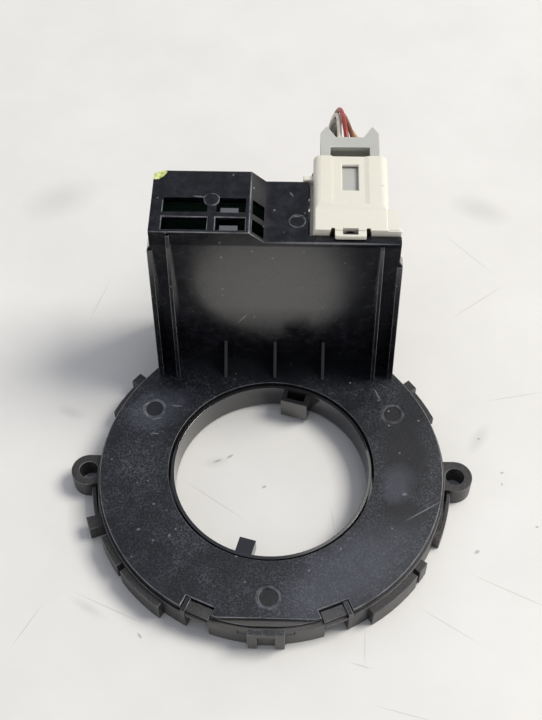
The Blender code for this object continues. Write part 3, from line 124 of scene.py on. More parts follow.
# Melamine laminate is pressed against a satin plate, so it is even and pale with a dull
# sheen. It has faint blotches 3 to 5 cm wide under its scratches, smudges and dirt.
blotch = add_node(tree, "ShaderNodeTexNoise", {"Scale": 26.0, "Detail": 4.0, "Roughness": 0.6},
                  {"Vector": place}).outputs["Fac"]
sheet = lay_over(tree, "#e2e1de", "#e9e8e5", blotch, 0.3, 0.7)
# x, y, turn, half length and half width of each mark on the table
hairlines = (
    (-0.0148, -0.0053, -34.4, 0.0120, 0.00016),
    (0.0620, -0.0300, -25.0, 0.0140, 0.00018),
    (0.0680, 0.0300, 12.0, 0.0100, 0.00016),
    (0.0600, 0.0640, 38.0, 0.0120, 0.00018),
    (-0.0600, -0.0420, 62.0, 0.0080, 0.00016),
    (0.0340, -0.0620, -14.0, 0.0090, 0.00016),
    (0.0243, -0.0452, 89.0, 0.0064, 0.00014),
    (0.0456, -0.0394, -32.5, 0.0105, 0.00016),
    (0.0233, -0.0502, -16.0, 0.0034, 0.00020),
    (0.0164, -0.0100, -82.0, 0.0042, 0.00012),
    (-0.0396, -0.0367, -23.7, 0.0130, 0.00018),
    (-0.0530, 0.0622, 74.0, 0.0090, 0.00016),
    (0.0588, 0.0820, -48.0, 0.0120, 0.00016),
)
# Grey smudges where things have been set down
smudges = (
    (-0.0569, 0.0220, -20.0, 0.0050, 0.0022),
    (-0.0152, 0.0067, 15.0, 0.0042, 0.0020),
    (-0.0452, -0.0367, -30.0, 0.0062, 0.0016),
    (-0.0703, 0.1026, 30.0, 0.0150, 0.0090),
    (0.0632, 0.1010, -25.0, 0.0110, 0.0060),
    (0.0566, 0.0157, 60.0, 0.0060, 0.0025),
)
dirt = (
    (0.0621, 0.0050, 20.0, 0.0007, 0.0004),
    (0.0618, 0.0015, 80.0, 0.0006, 0.0003),
    (0.0699, -0.0112, 0.0, 0.0006, 0.0004),
    (0.0537, -0.0188, 50.0, 0.0006, 0.0004),
    (-0.0019, -0.0008, 30.0, 0.0008, 0.0005),
    (-0.0148, 0.0070, 25.0, 0.0016, 0.0004),
    (-0.0115, 0.0085, 35.0, 0.0014, 0.0005),
    (0.0537, -0.0188, 35.0, 0.0010, 0.0006),
    (-0.0315, -0.0438, -50.0, 0.0012, 0.0004),
    (0.0566, 0.0157, 0.0, 0.0006, 0.0004),
)
half_depth = 0.001
# Where in a mark its colour is fullest, how strong that is, and the colour
for flat_marks, full, most, shade in (
    (hairlines, 0.6, 0.4, "#9a9892"),
    (smudges, 0.8, 0.28, "#b3b2ae"),
    (dirt, 0.7, 0.55, "#6f6d69"),
):
    strokes = [((x, y, 0.0), (0.0, 0.0, turn), (half_length, half_width, half_depth))
               for x, y, turn, half_length, half_width in flat_marks]
    sheet = lay_over(tree, sheet, shade, marks(tree, place, strokes), 0.0, full, most)
tree.links.new(sheet, shader.inputs["Base Color"])
shader.inputs["Roughness"].default_value = 0.45
shader.inputs["IOR"].default_value = 1.5

table_half_width = 1.6
bm = bmesh.new()
bmesh.ops.create_grid(bm, x_segments=2, y_segments=2, size=table_half_width)
mesh = bpy.data.meshes.new("table_top")
bm.to_mesh(mesh)
bm.free()
table_top = bpy.data.objects.new("table_top", mesh)
table_top.data.materials.append(laminate)
bpy.context.scene.collection.objects.link(table_top)

for name, spot, width, watts in (
    ("right_panel", (1.40, 0.36, 1.92), 1.00, 49.0),
    ("overhead_panel", (0.25, 0.50, 1.50), 0.60, 1.5),
):
    lamp = bpy.data.lights.new(name, "AREA")
    lamp.shape = "SQUARE"
    lamp.size = width
    lamp.energy = watts
    lamp.color = linear("#fffbf3")[:3]
    panel = bpy.data.objects.new(name, lamp)
    panel.location = spot
    panel.rotation_euler = panel.location.to_track_quat("Z", "Y").to_euler()
    bpy.context.scene.collection.objects.link(panel)

# The room is palest at the horizon and turns to a bluish grey overhead
world = bpy.data.worlds.new("pale_room")
world.use_nodes = True
room = world.node_tree
facing = add_node(room, "ShaderNodeTexCoord").outputs["Generated"]
height = add_node(room, "ShaderNodeSeparateXYZ", {}, {"Vector": facing}).outputs["Z"]
walls = add_node(room, "ShaderNodeValToRGB", {}, {"Fac": height})
shades = walls.color_ramp.elements
shades[0].color = linear("#f4f1ec")
shades[1].position = 0.95
shades[1].color = linear("#8a90a0")
shades.new(0.50).color = linear("#bdbec2")
shades.new(0.75).color = linear("#9195a1")
room.links.new(walls.outputs["Color"], room.nodes["Background"].inputs["Color"])
room.nodes["Background"].inputs["Strength"].default_value = 1.0
bpy.context.scene.world = world
bpy.context.scene.view_settings.view_transform = "Standard"

# The camera looks down over the front of the ring, about 54 degrees below the horizontal,
# from 33 cm away, turned a little to the left and rolled by under one degree.
eye = (0.006723, -0.162559, 0.283289)
yaw, pitch, roll = -0.039, 0.947, 0.014
focal_length_in_pixels = 1210.0
picture_height_in_pixels = 720.0
sensor_height = 36.0
ahead = Vector((math.sin(yaw) * math.cos(pitch), math.cos(yaw) * math.cos(pitch), -math.sin(pitch)))
level = Vector((math.cos(yaw), -math.sin(yaw), 0.0))
down = ahead.cross(level)
across = level * math.cos(roll) + down * math.sin(roll)
down = down * math.cos(roll) - level * math.sin(roll)
camera = bpy.data.objects.new("camera", bpy.data.cameras.new("camera"))
camera.data.sensor_fit = "VERTICAL"
camera.data.sensor_height = sensor_height
camera.data.lens = focal_length_in_pixels / picture_height_in_pixels * sensor_height
camera.data.clip_start = 0.01
turn = Matrix((across, -down, -ahead)).transposed()
camera.matrix_world = Matrix.Translation(eye) @ turn.to_4x4()
bpy.context.scene.collection.objects.link(camera)
bpy.context.scene.camera = camera


# The casing: two black PBT shells, injection moulded. The cover comes from a spark-eroded
# mould and is finely mottled, the tower from a polished one and is glossy. Years behind a
# steering wheel left dust, scratches and rubbed edges on them. Painted highlights lie along
# their edges and mould marks, and painted shade and reflections on the cover and the base.
def outer_corners(bm, clear):
    """Edges that turn outwards by over 28 degrees, with no edge shorter than clear at either end."""
    crowded = {vert for edge in bm.edges if edge.calc_length() < clear for vert in edge.verts}
    return [edge for edge in bm.edges if len(edge.link_faces) == 2 and edge.is_convex
            and edge.calc_face_angle(0.0) > math.radians(28.0) and not crowded.intersection(edge.verts)]


def moulded_copy(node, body, surface, *roundings):
    """A copy of a solid with the small radii that a mould leaves on its outer edges.

    Each rounding is its width, the shortest edge that it leaves room for, and which points it takes in.
    """
    bm = bmesh.new()
    bm.from_mesh(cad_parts[node].data)
    bmesh.ops.remove_doubles(bm, verts=bm.verts, dist=2e-6)
    # The seam across the middle keeps a ring-shaped face in two simple halves
    cut = bmesh.ops.bisect_plane(bm, geom=bm.verts[:] + bm.edges[:] + bm.faces[:], dist=1e-6,
                                 plane_co=(0.0, 0.0, 0.0), plane_no=(1.0, 0.0, 0.0))
    for part in cut["geom_cut"]:
        if isinstance(part, bmesh.types.BMEdge):
            part.seam = True
    bmesh.ops.dissolve_limit(bm, angle_limit=math.radians(1.0), verts=bm.verts, edges=bm.edges,
                             delimit={"SEAM"})
    # How pale an edge is painted, as rubbing and as a painted highlight: 1 along the crest of each rounded
    # edge
    rub_and_highlight = bm.verts.layers.float.new("edge_rub_and_highlight")
    for width, clear, taken in roundings:
        edges = [edge for edge in outer_corners(bm, clear) if all(taken(vert.co) for vert in edge.verts)]
        rounded = bmesh.ops.bevel(bm, geom=edges, offset=width, segments=2, profile=0.5, affect="EDGES",
                                  material=-1, clamp_overlap=False)
        strips = {face for face in rounded["faces"] if face.is_valid}
        for vert in {vert for face in strips for vert in face.verts}:
            if strips.issuperset(vert.link_faces):
                vert[rub_and_highlight] = 1.0
    # A large flat face isn't shaded into the narrow rounding beside it
    for face in bm.faces:
        face.smooth = True
    for edge in bm.edges:
        areas = sorted(face.calc_area() for face in edge.link_faces)
        angle = math.degrees(edge.calc_face_angle(0.0)) if len(areas) == 2 else 0.0
        edge.smooth = angle < 3.0 or (angle < 50.0 and areas[1] < 4.0 * areas[0])
    mesh = bpy.data.meshes.new(node + "_moulding")
    bm.to_mesh(mesh)
    bm.free()
    mesh.materials.append(surface)
    made = bpy.data.objects.new(node + "_moulding", mesh)
    bpy.context.scene.collection.objects.link(made)
    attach(made, body)
    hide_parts(node)
    return made


def anywhere(point):
    """Takes in every edge."""
    return True


# Faces and edges that the roundings go by, and how near a point has to be to lie on one
cover_face = 0.0090
rim_inside = 0.0400
tower_front_inside, tower_back_inside = 0.0365, 0.0572
roof_underside = 0.0560
roof_face = 0.0605
roof_slant = 0.945
slant_start = -0.0060
slant_end = -0.00255
pocket_left = 0.0080
pocket_edge = 0.0384
hair = 0.00005


def roomy(point):
    """Where there is room for a radius.

    There is none on the ceiling, on the slanted windows' lower edges and on the pocket's edge.
    """
    roof = min(roof_face, roof_face - roof_slant * (point.x - slant_start))
    inside = point.x < 0.0 and tower_front_inside < point.y < tower_back_inside
    on_ceiling = inside and 0.0002 < roof - point.z < 0.0030
    by_step = abs(point.x - slant_end) < hair and point.z > roof_underside
    by_pocket = abs(point.y - pocket_edge) < hair and point.x > pocket_left
    return not (on_ceiling or by_step or by_pocket)


def on_rim_or_roof(point):
    """On the rim of the cover's face, or on the outer side of the tower's roof."""
    on_rim = abs(point.z - cover_face) < 0.00001 and point.xy.length > rim_inside
    return on_rim or (point.z > roof_underside and roomy(point))


casing_black, tree, shader, place = new_material("moulded_black_pbt")
z = add_node(tree, "ShaderNodeSeparateXYZ", {}, {"Vector": place}).outputs["Z"]
# The cover lies over the base, and the tower stands on the cover
cover = amount(tree, (z, 0.0080, 0.0086))
tower = amount(tree, (z, 0.0098, 0.0125))
# Handled patches 8 to 20 mm wide
patch = add_node(tree, "ShaderNodeTexNoise", {"Scale": 75.0, "Detail": 5.0, "Roughness": 0.6},
                 {"Vector": place}).outputs["Fac"]
# Faint cloudy stains 3 mm wide
stains = add_node(tree, "ShaderNodeTexNoise", {"Scale": 330.0, "Detail": 4.0, "Roughness": 0.7},
                  {"Vector": place}).outputs["Fac"]
# The mottle of the eroded mould is 0.3 mm wide, and drawn at 0.4 mm so that it shows
mottle = add_node(tree, "ShaderNodeTexNoise", {"Scale": 2400.0, "Detail": 2.0, "Roughness": 0.6},
                  {"Vector": place}).outputs["Fac"]
# The base is a warmer black. The front of its wall is painted paler, a painted reflection of the pale table
# in front of it
base_colour = lay_over(tree, "#201f1f", "#393736", mottle, 0.4, 0.6)
painted_wall_reflection = marks(tree, place, (((0.0, -0.0460, 0.0040), (0.0, 0.0, 0.0), (0.0360, 0.0090, 0.0090)),))
base_colour = lay_over(tree, base_colour, "#4e4c4a", painted_wall_reflection, 0.0, 0.5, 0.8)
# The cover is paler where dust has settled in its mottle. It is darkest at the tower's foot, where painted
# shade stands for the tower's shadow and dark reflection, and on two wiped patches at the right
wiped_and_tower_shade = marks(tree, place, (
    ((0.0000, 0.0350, 0.0090), (0.0, 0.0, 0.0), (0.0400, 0.0110, 0.0080)),
    ((0.0344, -0.0130, 0.0090), (0.0, 0.0, 20.0), (0.0060, 0.0080, 0.0060)),
    ((0.0350, 0.0050, 0.0090), (0.0, 0.0, 0.0), (0.0080, 0.0160, 0.0060)),
))
settled = amount(tree, (patch, 0.42, 0.60, 0.20, 0.60), (stains, 0.35, 0.62, 0.45, 1.0),
                 (wiped_and_tower_shade, 0.0, 0.5, 1.0, 0.1), (mottle, 0.45, 0.66))
cover_colour = lay_over(tree, "#05070c", "#5d6270", settled)
body_colour = lay_over(tree, base_colour, cover_colour, cover)
# A painted sheen on the front right of the cover and a smaller one at the right, and a film of dust at the
# back left
sheen_and_dust_film = marks(tree, place, (
    ((0.0209, -0.0296, 0.0090), (0.0, 0.0, 38.0), (0.0280, 0.0130, 0.0060)),
    ((0.0330, -0.0042, 0.0090), (0.0, 0.0, 70.0), (0.0080, 0.0060, 0.0060)),
    ((-0.0300, 0.0180, 0.0090), (0.0, 0.0, 30.0), (0.0130, 0.0080, 0.0060)),
))
body_colour = lay_over(tree, body_colour, "#6a6f7d", amount(tree, sheen_and_dust_film, patch), 0.06, 0.34, 0.24)
# The tower's polished plastic is blacker
tower_colour = lay_over(tree, "#06060a", "#1b1c23", stains, 0.42, 0.72)
body_colour = lay_over(tree, body_colour, tower_colour, tower)
# Three round moulding marks in the cover, darker inside, each with a painted highlight on its ring
moulding_marks = marks(tree, place, (
    ((0.03237, 0.01750, 0.0089), (0.0, 0.0, 0.0), (0.0045, 0.0045, 0.0020)),
    ((-0.03216, 0.01790, 0.0089), (0.0, 0.0, 0.0), (0.0045, 0.0045, 0.0020)),
    ((0.00039, -0.03680, 0.0089), (0.0, 0.0, 0.0), (0.0045, 0.0045, 0.0020)),
))
body_colour = lay_over(tree, body_colour, "#08090c", moulding_marks, 0.44, 0.48, 0.8)
ring = amount(tree, (moulding_marks, 0.24, 0.32), (moulding_marks, 0.48, 0.42),
              (stains, 0.42, 0.62, 0.06, 0.42))
body_colour = lay_over(tree, body_colour, "#7c7e86", ring)
# Two more in the roof, each with a thin painted highlight on its edge
roof_marks = marks(tree, place, (
    ((-0.0158, 0.0469, 0.0606), (0.0, 0.0, 0.0), (0.0040, 0.0040, 0.0020)),
    ((0.0058, 0.04325, 0.0570), (0.0, 0.0, 0.0), (0.0040, 0.0040, 0.0020)),
))
thin_edge = amount(tree, (roof_marks, 0.43, 0.49), (roof_marks, 0.56, 0.50),
                   (stains, 0.40, 0.60, 0.15, 0.8))
body_colour = lay_over(tree, body_colour, "#85878d", thin_edge)
# The sills under the right-hand windows are painted paler
sills = marks(tree, place, (
    ((-0.0112, 0.0384, 0.0592), (0.0, 0.0, 0.0), (0.0040, 0.0022, 0.0016)),
    ((-0.0112, 0.0443, 0.0592), (0.0, 0.0, 0.0), (0.0040, 0.0022, 0.0016)),
))
body_colour = lay_over(tree, body_colour, "#626469", sills, 0.05, 0.3, 0.9)
# Dust specks 0.3 mm across, about 5 mm apart
specks = add_node(tree, "ShaderNodeTexVoronoi", {"Scale": 380.0}, {"Vector": place})
chosen = add_node(tree, "ShaderNodeSeparateXYZ", {}, {"Vector": specks.outputs["Color"]}).outputs["X"]
dust = amount(tree, (specks.outputs["Distance"], 0.13, 0.07), (chosen, 0.72, 0.95))
body_colour = lay_over(tree, body_colour, "#77787b", dust)
# Scratches and scuffs where the sensor has been handled, on the cover, the tower's front and
# the roof. The last is a painted highlight along the front edge of the lower roof.
scratches_and_edge_highlight = marks(tree, place, (
    ((0.0395, -0.0120, 0.0090), (0.0, 0.0, 32.1), (0.0066, 0.00022, 0.0010)),
    ((-0.0262, 0.0188, 0.0090), (0.0, 0.0, -4.0), (0.0018, 0.00026, 0.0010)),
    ((-0.0314, 0.0098, 0.0090), (0.0, 0.0, -3.0), (0.0014, 0.00024, 0.0010)),
    ((-0.0346, 0.0192, 0.0090), (0.0, 0.0, 40.0), (0.0016, 0.00030, 0.0010)),
    ((-0.0342, 0.0163, 0.0090), (0.0, 0.0, -62.0), (0.0014, 0.00030, 0.0010)),
    ((-0.0313, 0.0146, 0.0090), (0.0, 0.0, 12.0), (0.0018, 0.00026, 0.0010)),
    ((0.0284, 0.0237, 0.0090), (0.0, 0.0, -65.5), (0.0027, 0.00026, 0.0010)),
    ((-0.0332, -0.0190, 0.0090), (0.0, 0.0, 20.0), (0.0006, 0.0004, 0.0010)),
    ((-0.0252, -0.0205, 0.0090), (0.0, 0.0, 70.0), (0.0005, 0.0004, 0.0010)),
    ((-0.0299, -0.0116, 0.0090), (0.0, 0.0, 0.0), (0.0005, 0.0003, 0.0010)),
    ((0.0347, -0.0073, 0.0090), (0.0, 0.0, 10.0), (0.0008, 0.0005, 0.0010)),
    ((-0.0085, 0.0355, 0.0268), (0.0, -56.0, 0.0), (0.0030, 0.0010, 0.00024)),
    ((-0.0190, 0.0479, 0.0605), (0.0, 0.0, -6.0), (0.0020, 0.00026, 0.0010)),
    ((-0.0138, 0.0441, 0.0605), (0.0, 0.0, 65.0), (0.0012, 0.00026, 0.0010)),
    ((0.0042, 0.0524, 0.0571), (0.0, 0.0, -60.0), (0.0011, 0.00026, 0.0010)),
    ((0.0060, 0.0450, 0.0571), (0.0, 0.0, 8.0), (0.0016, 0.00026, 0.0010)),
    ((0.0146, 0.0359, 0.0571), (0.0, 0.0, 0.0), (0.0200, 0.0005, 0.0005)),
))
body_colour = lay_over(tree, body_colour, "#7d7f84", scratches_and_edge_highlight, 0.0, 0.5, 0.6)
# Rounded edges are painted pale in stretches of 3 to 10 mm, partly as rubbing and partly as a painted
# highlight along their crests
rub_and_highlight = add_node(tree, "ShaderNodeAttribute", {"attribute_name": "edge_rub_and_highlight"}).outputs["Fac"]
stretches = add_node(tree, "ShaderNodeTexNoise", {"Scale": 190.0, "Detail": 4.0, "Roughness": 0.7},
                     {"Vector": place}).outputs["Fac"]
pale = amount(tree, rub_and_highlight, (stretches, 0.38, 0.62, 0.3, 1.0))
body_colour = lay_over(tree, body_colour, "#8a8b91", pale)
# A dab of yellow-green marking paint on the tower's rear left corner, uneven at about 1 mm
ragged = add_node(tree, "ShaderNodeTexNoise", {"Scale": 900.0, "Detail": 2.0},
                  {"Vector": place}).outputs["Fac"]
dab = marks(tree, place, (
    ((-0.0300, 0.0551, 0.0605), (0.0, 0.0, 20.0), (0.0021, 0.0017, 0.0018)),
    ((-0.0288, 0.0560, 0.0605), (0.0, 0.0, 50.0), (0.0020, 0.0011, 0.0016)),
))
paint = lay_over(tree, "#a3ad55", "#dde5a4", ragged, 0.35, 0.65)
body_colour = lay_over(tree, body_colour, paint, amount(tree, dab, ragged), 0.08, 0.13)
tree.links.new(body_colour, shader.inputs["Base Color"])
# The cover has a broken sheen, and the tower mirrors the table
cover_roughness = amount(tree, (patch, 0.35, 0.68, 0.32, 0.46))
tower_roughness = amount(tree, (stains, 0.35, 0.68, 0.18, 0.30))
roughness = add_node(tree, "ShaderNodeMix", {}, {0: tower, 2: cover_roughness, 3: tower_roughness})
tree.links.new(roughness.outputs[0], shader.inputs["Roughness"])
grain = add_node(tree, "ShaderNodeBump", {"Distance": 0.0001},
                 {"Height": mottle, "Strength": amount(tree, (tower, 0.0, 1.0, 0.5, 0.03))})
tree.links.new(grain.outputs["Normal"], shader.inputs["Normal"])
shader.inputs["IOR"].default_value = 1.52
# The mould's best polish, drawn as a clear coat, ends below the roof and above the tower's foot
polished = amount(tree, (z, 0.022, 0.032), (z, 0.0560, 0.0555))
tree.links.new(polished, shader.inputs["Coat Weight"])
shader.inputs["Coat Roughness"].default_value = 0.20
shader.inputs["Coat IOR"].default_value = 1.65


def add_block(made, low, high):
    """Adds a small block with rounded edges to a finished moulding."""
    bm = bmesh.new()
    bm.from_mesh(made.data)
    corners = bmesh.ops.create_cube(bm, size=1.0)["verts"]
    bmesh.ops.scale(bm, vec=[top - bottom for bottom, top in zip(low, high)], verts=corners)
    bmesh.ops.translate(bm, vec=[(top + bottom) / 2 for bottom, top in zip(low, high)], verts=corners)
    edges = [edge for edge in bm.edges if edge.verts[0] in corners]
    bmesh.ops.bevel(bm, geom=edges, offset=0.00015, segments=2, profile=0.5, affect="EDGES", material=-1)
    bm.to_mesh(made.data)
    bm.free()


upper = moulded_copy("upper_casing", "casing", casing_black, (0.00030, 0.0008, on_rim_or_roof),
                     (0.00012, 0.00025, roomy))
# The two sills under the right-hand windows
sill_width = 0.0024
for front in (0.0371, 0.0430):
    add_block(upper, (-0.0136, front, 0.0581), (-0.0090, front + sill_width, 0.0592))
moulded_copy("lower_casing", "casing", casing_black, (0.00015, 0.00035, anywhere))
moulded_copy("tower_back_cover", "casing", casing_black, (0.00020, 0.0005, anywhere))


# The rotor: acetal, moulded black, with a slicker surface than the casing because it
# runs in it. Its hollow tab and its tongue are driven by the steering column.
rotor_black, tree, shader, place = new_material("black_acetal")
# Its finish varies in patches 6 mm wide. The bore's wall mirrors the pale table, so the IOR
# is above acetal's own 1.48.
rubbed = add_node(tree, "ShaderNodeTexNoise", {"Scale": 160.0, "Detail": 4.0},
                  {"Vector": place}).outputs["Fac"]
rub_and_highlight = add_node(tree, "ShaderNodeAttribute", {"attribute_name": "edge_rub_and_highlight"}).outputs["Fac"]
rotor_colour = lay_over(tree, "#1b1b1c", "#262627", rubbed)
# Its rounded edges are painted pale, partly as rubbing and partly as a painted highlight
rotor_colour = lay_over(tree, rotor_colour, "#58595c", amount(tree, rub_and_highlight, rubbed))
tree.links.new(rotor_colour, shader.inputs["Base Color"])
tree.links.new(amount(tree, (rubbed, 0.0, 1.0, 0.05, 0.11)), shader.inputs["Roughness"])
shader.inputs["IOR"].default_value = 1.9


tab_left, tab_right = 0.0030, 0.0092
tab_front = 0.0200
tab_top = 0.0082


def off_tab(point):
    """Not on the top of the hollow tab, whose rear wall is too thin for a radius."""
    over_tab = tab_left < point.x < tab_right and point.y > tab_front
    return not (over_tab and abs(point.z - tab_top) < hair)


moulded_copy("rotor_ring", "rotor", rotor_black, (0.00012, 0.0005, off_tab))


# The receptacle: unfilled ivory PBT, slightly translucent, so light sinks in and its
# corners look soft. It clips onto the tower's upper right corner.
ivory, tree, shader, place = new_material("ivory_pbt")
# Yellowed a little in patches 1 to 2 cm wide, with a few specks of dirt under 1 mm across
flow = add_node(tree, "ShaderNodeTexNoise", {"Scale": 60.0, "Detail": 3.0},
                {"Vector": place}).outputs["Fac"]
grit = add_node(tree, "ShaderNodeTexNoise", {"Scale": 1300.0, "Detail": 1.0},
                {"Vector": place}).outputs["Fac"]
ivory_colour = lay_over(tree, "#dbd8ca", "#e6e4d9", flow)
ivory_colour = lay_over(tree, ivory_colour, "#8f8a78", grit, 0.72, 0.78, 0.3)
# Painted shade darkens the slots beside the snap tongue and its window
painted_recess_shade = marks(tree, place, (
    ((0.0147, 0.0390, 0.0574), (0.0, 0.0, 0.0), (0.0010, 0.0007, 0.0022)),
    ((0.0235, 0.0390, 0.0574), (0.0, 0.0, 0.0), (0.0010, 0.0007, 0.0022)),
    ((0.01905, 0.0384, 0.0571), (0.0, 0.0, 0.0), (0.0026, 0.0012, 0.0019)),
))
ivory_colour = lay_over(tree, ivory_colour, "#2c2820", painted_recess_shade, 0.05, 0.20)
tree.links.new(ivory_colour, shader.inputs["Base Color"])
shader.inputs["Roughness"].default_value = 0.40
shader.inputs["IOR"].default_value = 1.55
shader.inputs["Subsurface Weight"].default_value = 0.25
shader.inputs["Subsurface Radius"].default_value = (1.0, 0.9, 0.75)
shader.inputs["Subsurface Scale"].default_value = 0.0012
receptacle = moulded_copy("connector_housing", "casing", ivory, (0.00030, 0.0008, anywhere),
                          (0.00012, 0.00025, anywhere))
# The raised strip along the top runs out gently on its left side
strip_side, strip_top, strip_runout = 0.0240, 0.0593, 0.0012
strip_front, strip_rear = 0.0470, 0.0641
for vertex in receptacle.data.vertices:
    x, y, z = vertex.co
    if abs(x - strip_side) < hair and strip_front < y < strip_rear and abs(z - strip_top) < hair:
        vertex.co.x -= strip_runout


# The plug: light grey PBT, with two horns that guard its latch arm. It is pushed into the
# receptacle from behind until the latch snaps.
plug_grey, tree, shader, place = new_material("light_grey_pbt")
# Even, but for a faint flow pattern 1 cm wide, and painted shade on the body behind the cross bar
flow = add_node(tree, "ShaderNodeTexNoise", {"Scale": 90.0, "Detail": 3.0},
                {"Vector": place}).outputs["Fac"]
plug_colour = lay_over(tree, "#b1b2ae", "#bfc0bb", flow)
painted_recess_shade = marks(tree, place, (((0.01925, 0.0675, 0.0541), (0.0, 0.0, 0.0), (0.0095, 0.0065, 0.0022)),))
plug_colour = lay_over(tree, plug_colour, "#8f8a72", painted_recess_shade, 0.05, 0.3, 0.8)
tree.links.new(plug_colour, shader.inputs["Base Color"])
shader.inputs["Roughness"].default_value = 0.44
shader.inputs["IOR"].default_value = 1.55
shader.inputs["Subsurface Weight"].default_value = 0.15
shader.inputs["Subsurface Radius"].default_value = (1.0, 1.0, 0.95)
shader.inputs["Subsurface Scale"].default_value = 0.0010
plug = moulded_copy("plug_housing", "casing", plug_grey, (0.00015, 0.00035, anywhere))
# The body's rear lip reaches out over the wires, under the cross bar
add_block(plug, (0.01365, 0.0696, 0.0527), (0.02485, 0.0744, 0.0539))


# The wires: five thin automotive leads with PVC insulation, crimped into the plug's
# contacts. They leave the plug in a row, bunch together over the tower's edge, fall
# behind it and lie side by side on the table, where they were cut.
wire_radius = 0.00065
wire_count = 5
row_pitch = 0.00245
table_pitch = 0.0019
points_per_wire = 78
# Where each wire lies beside and above the middle of the bunch
bunch = ((-0.00085, -0.00080), (-0.00085, 0.00085), (0.0, 0.00230), (0.00085, 0.00085), (0.00085, -0.00080))
# x, y, z of the bundle's middle, how closely it is bunched, and the turn of its row
route = (
    (0.01925, 0.0660, 0.0510, 0.0, 0.0),
    (0.01925, 0.0700, 0.0510, 0.0, 0.0),
    (0.0190, 0.0740, 0.0512, 0.2, 0.0),
    (0.0185, 0.0780, 0.0518, 0.42, 0.0),
    (0.0179, 0.0825, 0.0518, 0.75, 0.0),
    (0.0174, 0.0872, 0.0502, 1.0, 0.0),
    (0.0168, 0.0912, 0.0472, 1.0, 0.0),
    (0.0161, 0.0940, 0.0424, 1.0, 5.0),
    (0.0153, 0.0955, 0.0362, 1.0, 12.0),
    (0.0143, 0.0961, 0.0294, 1.0, 22.0),
    (0.0129, 0.0952, 0.0224, 1.0, 36.0),
    (0.0110, 0.0942, 0.0158, 1.1, 52.0),
    (0.0080, 0.0924, 0.0098, 1.25, 66.0),
    (0.0037, 0.0900, 0.0050, 1.5, 76.0),
    (-0.0020, 0.0876, 0.0020, 1.8, 82.0),
    (-0.0085, 0.0858, 0.0009, 2.0, 86.0),
    (-0.0152, 0.0849, 0.0008, 2.0, 90.0),
    (-0.0220, 0.0848, 0.0008, 2.0, 90.0),
)


def route_point(position):
    """The wire route at a position counted in route points, on a Catmull-Rom curve."""
    last = len(route) - 1
    index = min(int(position), last - 1)
    t = position - index
    a, b, c, d = (route[min(max(index + k, 0), last)] for k in (-1, 0, 1, 2))
    return [0.5 * (2 * q + (r - p) * t + (2 * p - 5 * q + 4 * r - s) * t * t
                   + (3 * q - p - 3 * r + s) * t * t * t) for p, q, r, s in zip(a, b, c, d)]


def wire_offset(index, bunching):
    """Where a wire lies beside and above the middle of the bundle."""
    row = (index - (wire_count - 1) / 2) * row_pitch
    table = (index - (wire_count - 1) / 2) * table_pitch
    beside, above = bunch[index]
    if bunching <= 1.0:
        return row + (beside - row) * bunching, above * min(1.0, 2.0 * bunching)
    spread = bunching - 1.0
    return beside + (table - beside) * spread, above * min(1.0, 2.0 * (1.0 - spread))


def wire_line(index, count):
    """The middle line of one wire, as a list of points."""
    last = len(route) - 1
    points = []
    for step in range(count):
        position = last * step / (count - 1)
        x, y, z, bunching, turned = route_point(position)
        after = route_point(min(position + 0.05, last))
        before = route_point(max(position - 0.05, 0.0))
        heading = (Vector(after[:3]) - Vector(before[:3])).normalized()
        side = Vector((math.cos(math.radians(turned)), math.sin(math.radians(turned)), 0.0))
        side = (side - heading * side.dot(heading)).normalized()
        beside, above = wire_offset(index, bunching)
        points.append(Vector((x, y, z)) + side * beside + side.cross(heading) * above)
    return points


def insulation(name, clean, dusty):
    """PVC wire insulation: extruded, so smooth, with a soft shine and a little grime."""
    made, tree, shader, place = new_material(name)
    # Handling marks about 2 mm long
    handled = add_node(tree, "ShaderNodeTexNoise", {"Scale": 480.0, "Detail": 4.0}, {"Vector": place})
    wiped_clean = amount(tree, (handled.outputs["Fac"], 0.38, 0.62))
    tree.links.new(lay_over(tree, dusty, clean, wiped_clean), shader.inputs["Base Color"])
    tree.links.new(amount(tree, (wiped_clean, 0.0, 1.0, 0.50, 0.36)), shader.inputs["Roughness"])
    shader.inputs["IOR"].default_value = 1.53
    return made


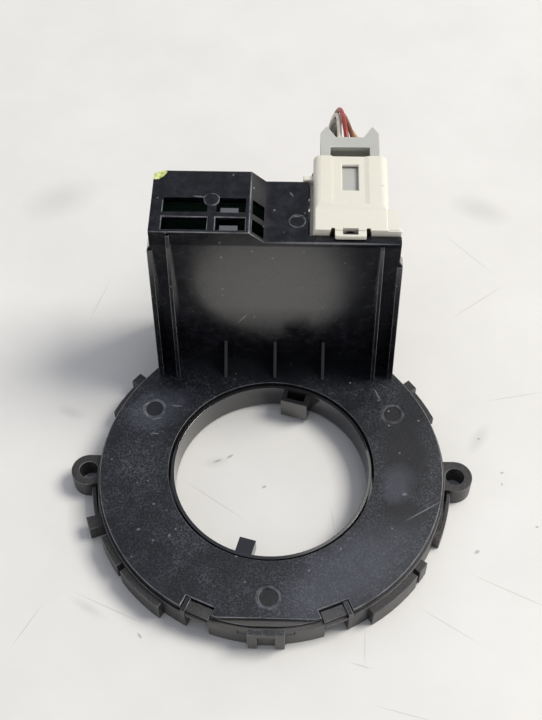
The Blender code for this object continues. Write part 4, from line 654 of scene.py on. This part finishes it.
# Each wire's colour, clean and dusty
wires = (
    ("black", "#3d3b30", "#4a483b"),
    ("white", "#e2ded2", "#cfc9ba"),
    ("red", "#a12a22", "#8c332b"),
    ("brown", "#7a4a33", "#6a4636"),
    ("tan", "#d3b28c", "#bd9f7e"),
)
for index, (colour, clean, dusty) in enumerate(wires):
    name = "wire_" + colour
    curve = bpy.data.curves.new(name + "_lead", "CURVE")
    curve.dimensions = "3D"
    curve.bevel_depth = wire_radius
    curve.bevel_resolution = 3
    curve.use_fill_caps = True
    points = wire_line(index, points_per_wire)
    spline = curve.splines.new("POLY")
    spline.points.add(len(points) - 1)
    for target, point in zip(spline.points, points):
        target.co = (*point, 1.0)
    curve.materials.append(insulation(colour + "_pvc_insulation", clean, dusty))
    lead = bpy.data.objects.new(name + "_lead", curve)
    bpy.context.scene.collection.objects.link(lead)
    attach(lead, "casing")
    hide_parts(name)


# The inner parts show only through the roof's windows and the open mouth: circuit
# boards, chips, capacitors, measuring gears with their magnets, and tinned terminals.
def plain_finish(name, colour, second, scale, roughness, metallic=0.0):
    """A finish with a faint two-tone variation at a real size, given in metres."""
    made, tree, shader, place = new_material(name)
    vary = add_node(tree, "ShaderNodeTexNoise", {"Scale": 1.0 / scale, "Detail": 3.0}, {"Vector": place})
    tree.links.new(lay_over(tree, colour, second, vary.outputs["Fac"]), shader.inputs["Base Color"])
    shader.inputs["Roughness"].default_value = roughness
    shader.inputs["Metallic"].default_value = metallic
    return made


# Satin green boards, dull black chips, bright drawn cans, waxy white gears, dull grey magnets
# and silvery tinned metal
inner_finishes = (
    (plain_finish("solder_mask", "#33513f", "#466753", 0.004, 0.38), ("sensor_board", "main_board")),
    (plain_finish("chip_epoxy", "#1b1b1d", "#242426", 0.001, 0.58),
     ("sensor_chip_a", "sensor_chip_b", "processor", "regulator", "bus_transceiver")),
    (plain_finish("aluminium_can", "#d4d6d9", "#c6c8cb", 0.003, 0.28, 1.0),
     ("buffer_capacitor_a", "buffer_capacitor_b")),
    (plain_finish("natural_acetal", "#e9e7de", "#e2dfd5", 0.005, 0.34),
     ("detection_gear_a", "detection_gear_b")),
    (plain_finish("sintered_ferrite", "#55565a", "#4b4c50", 0.0008, 0.55), ("magnet_a", "magnet_b")),
    (plain_finish("tinned_brass", "#cfccc0", "#c2bfb2", 0.002, 0.27, 1.0),
     ("board_link",) + tuple("terminal_%d" % n for n in range(1, 6))
     + tuple("plug_contact_%d" % n for n in range(1, 6))),
)
for surface, nodes in inner_finishes:
    for node in nodes:
        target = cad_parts[node]
        target.data.materials.clear()
        target.data.materials.append(surface)
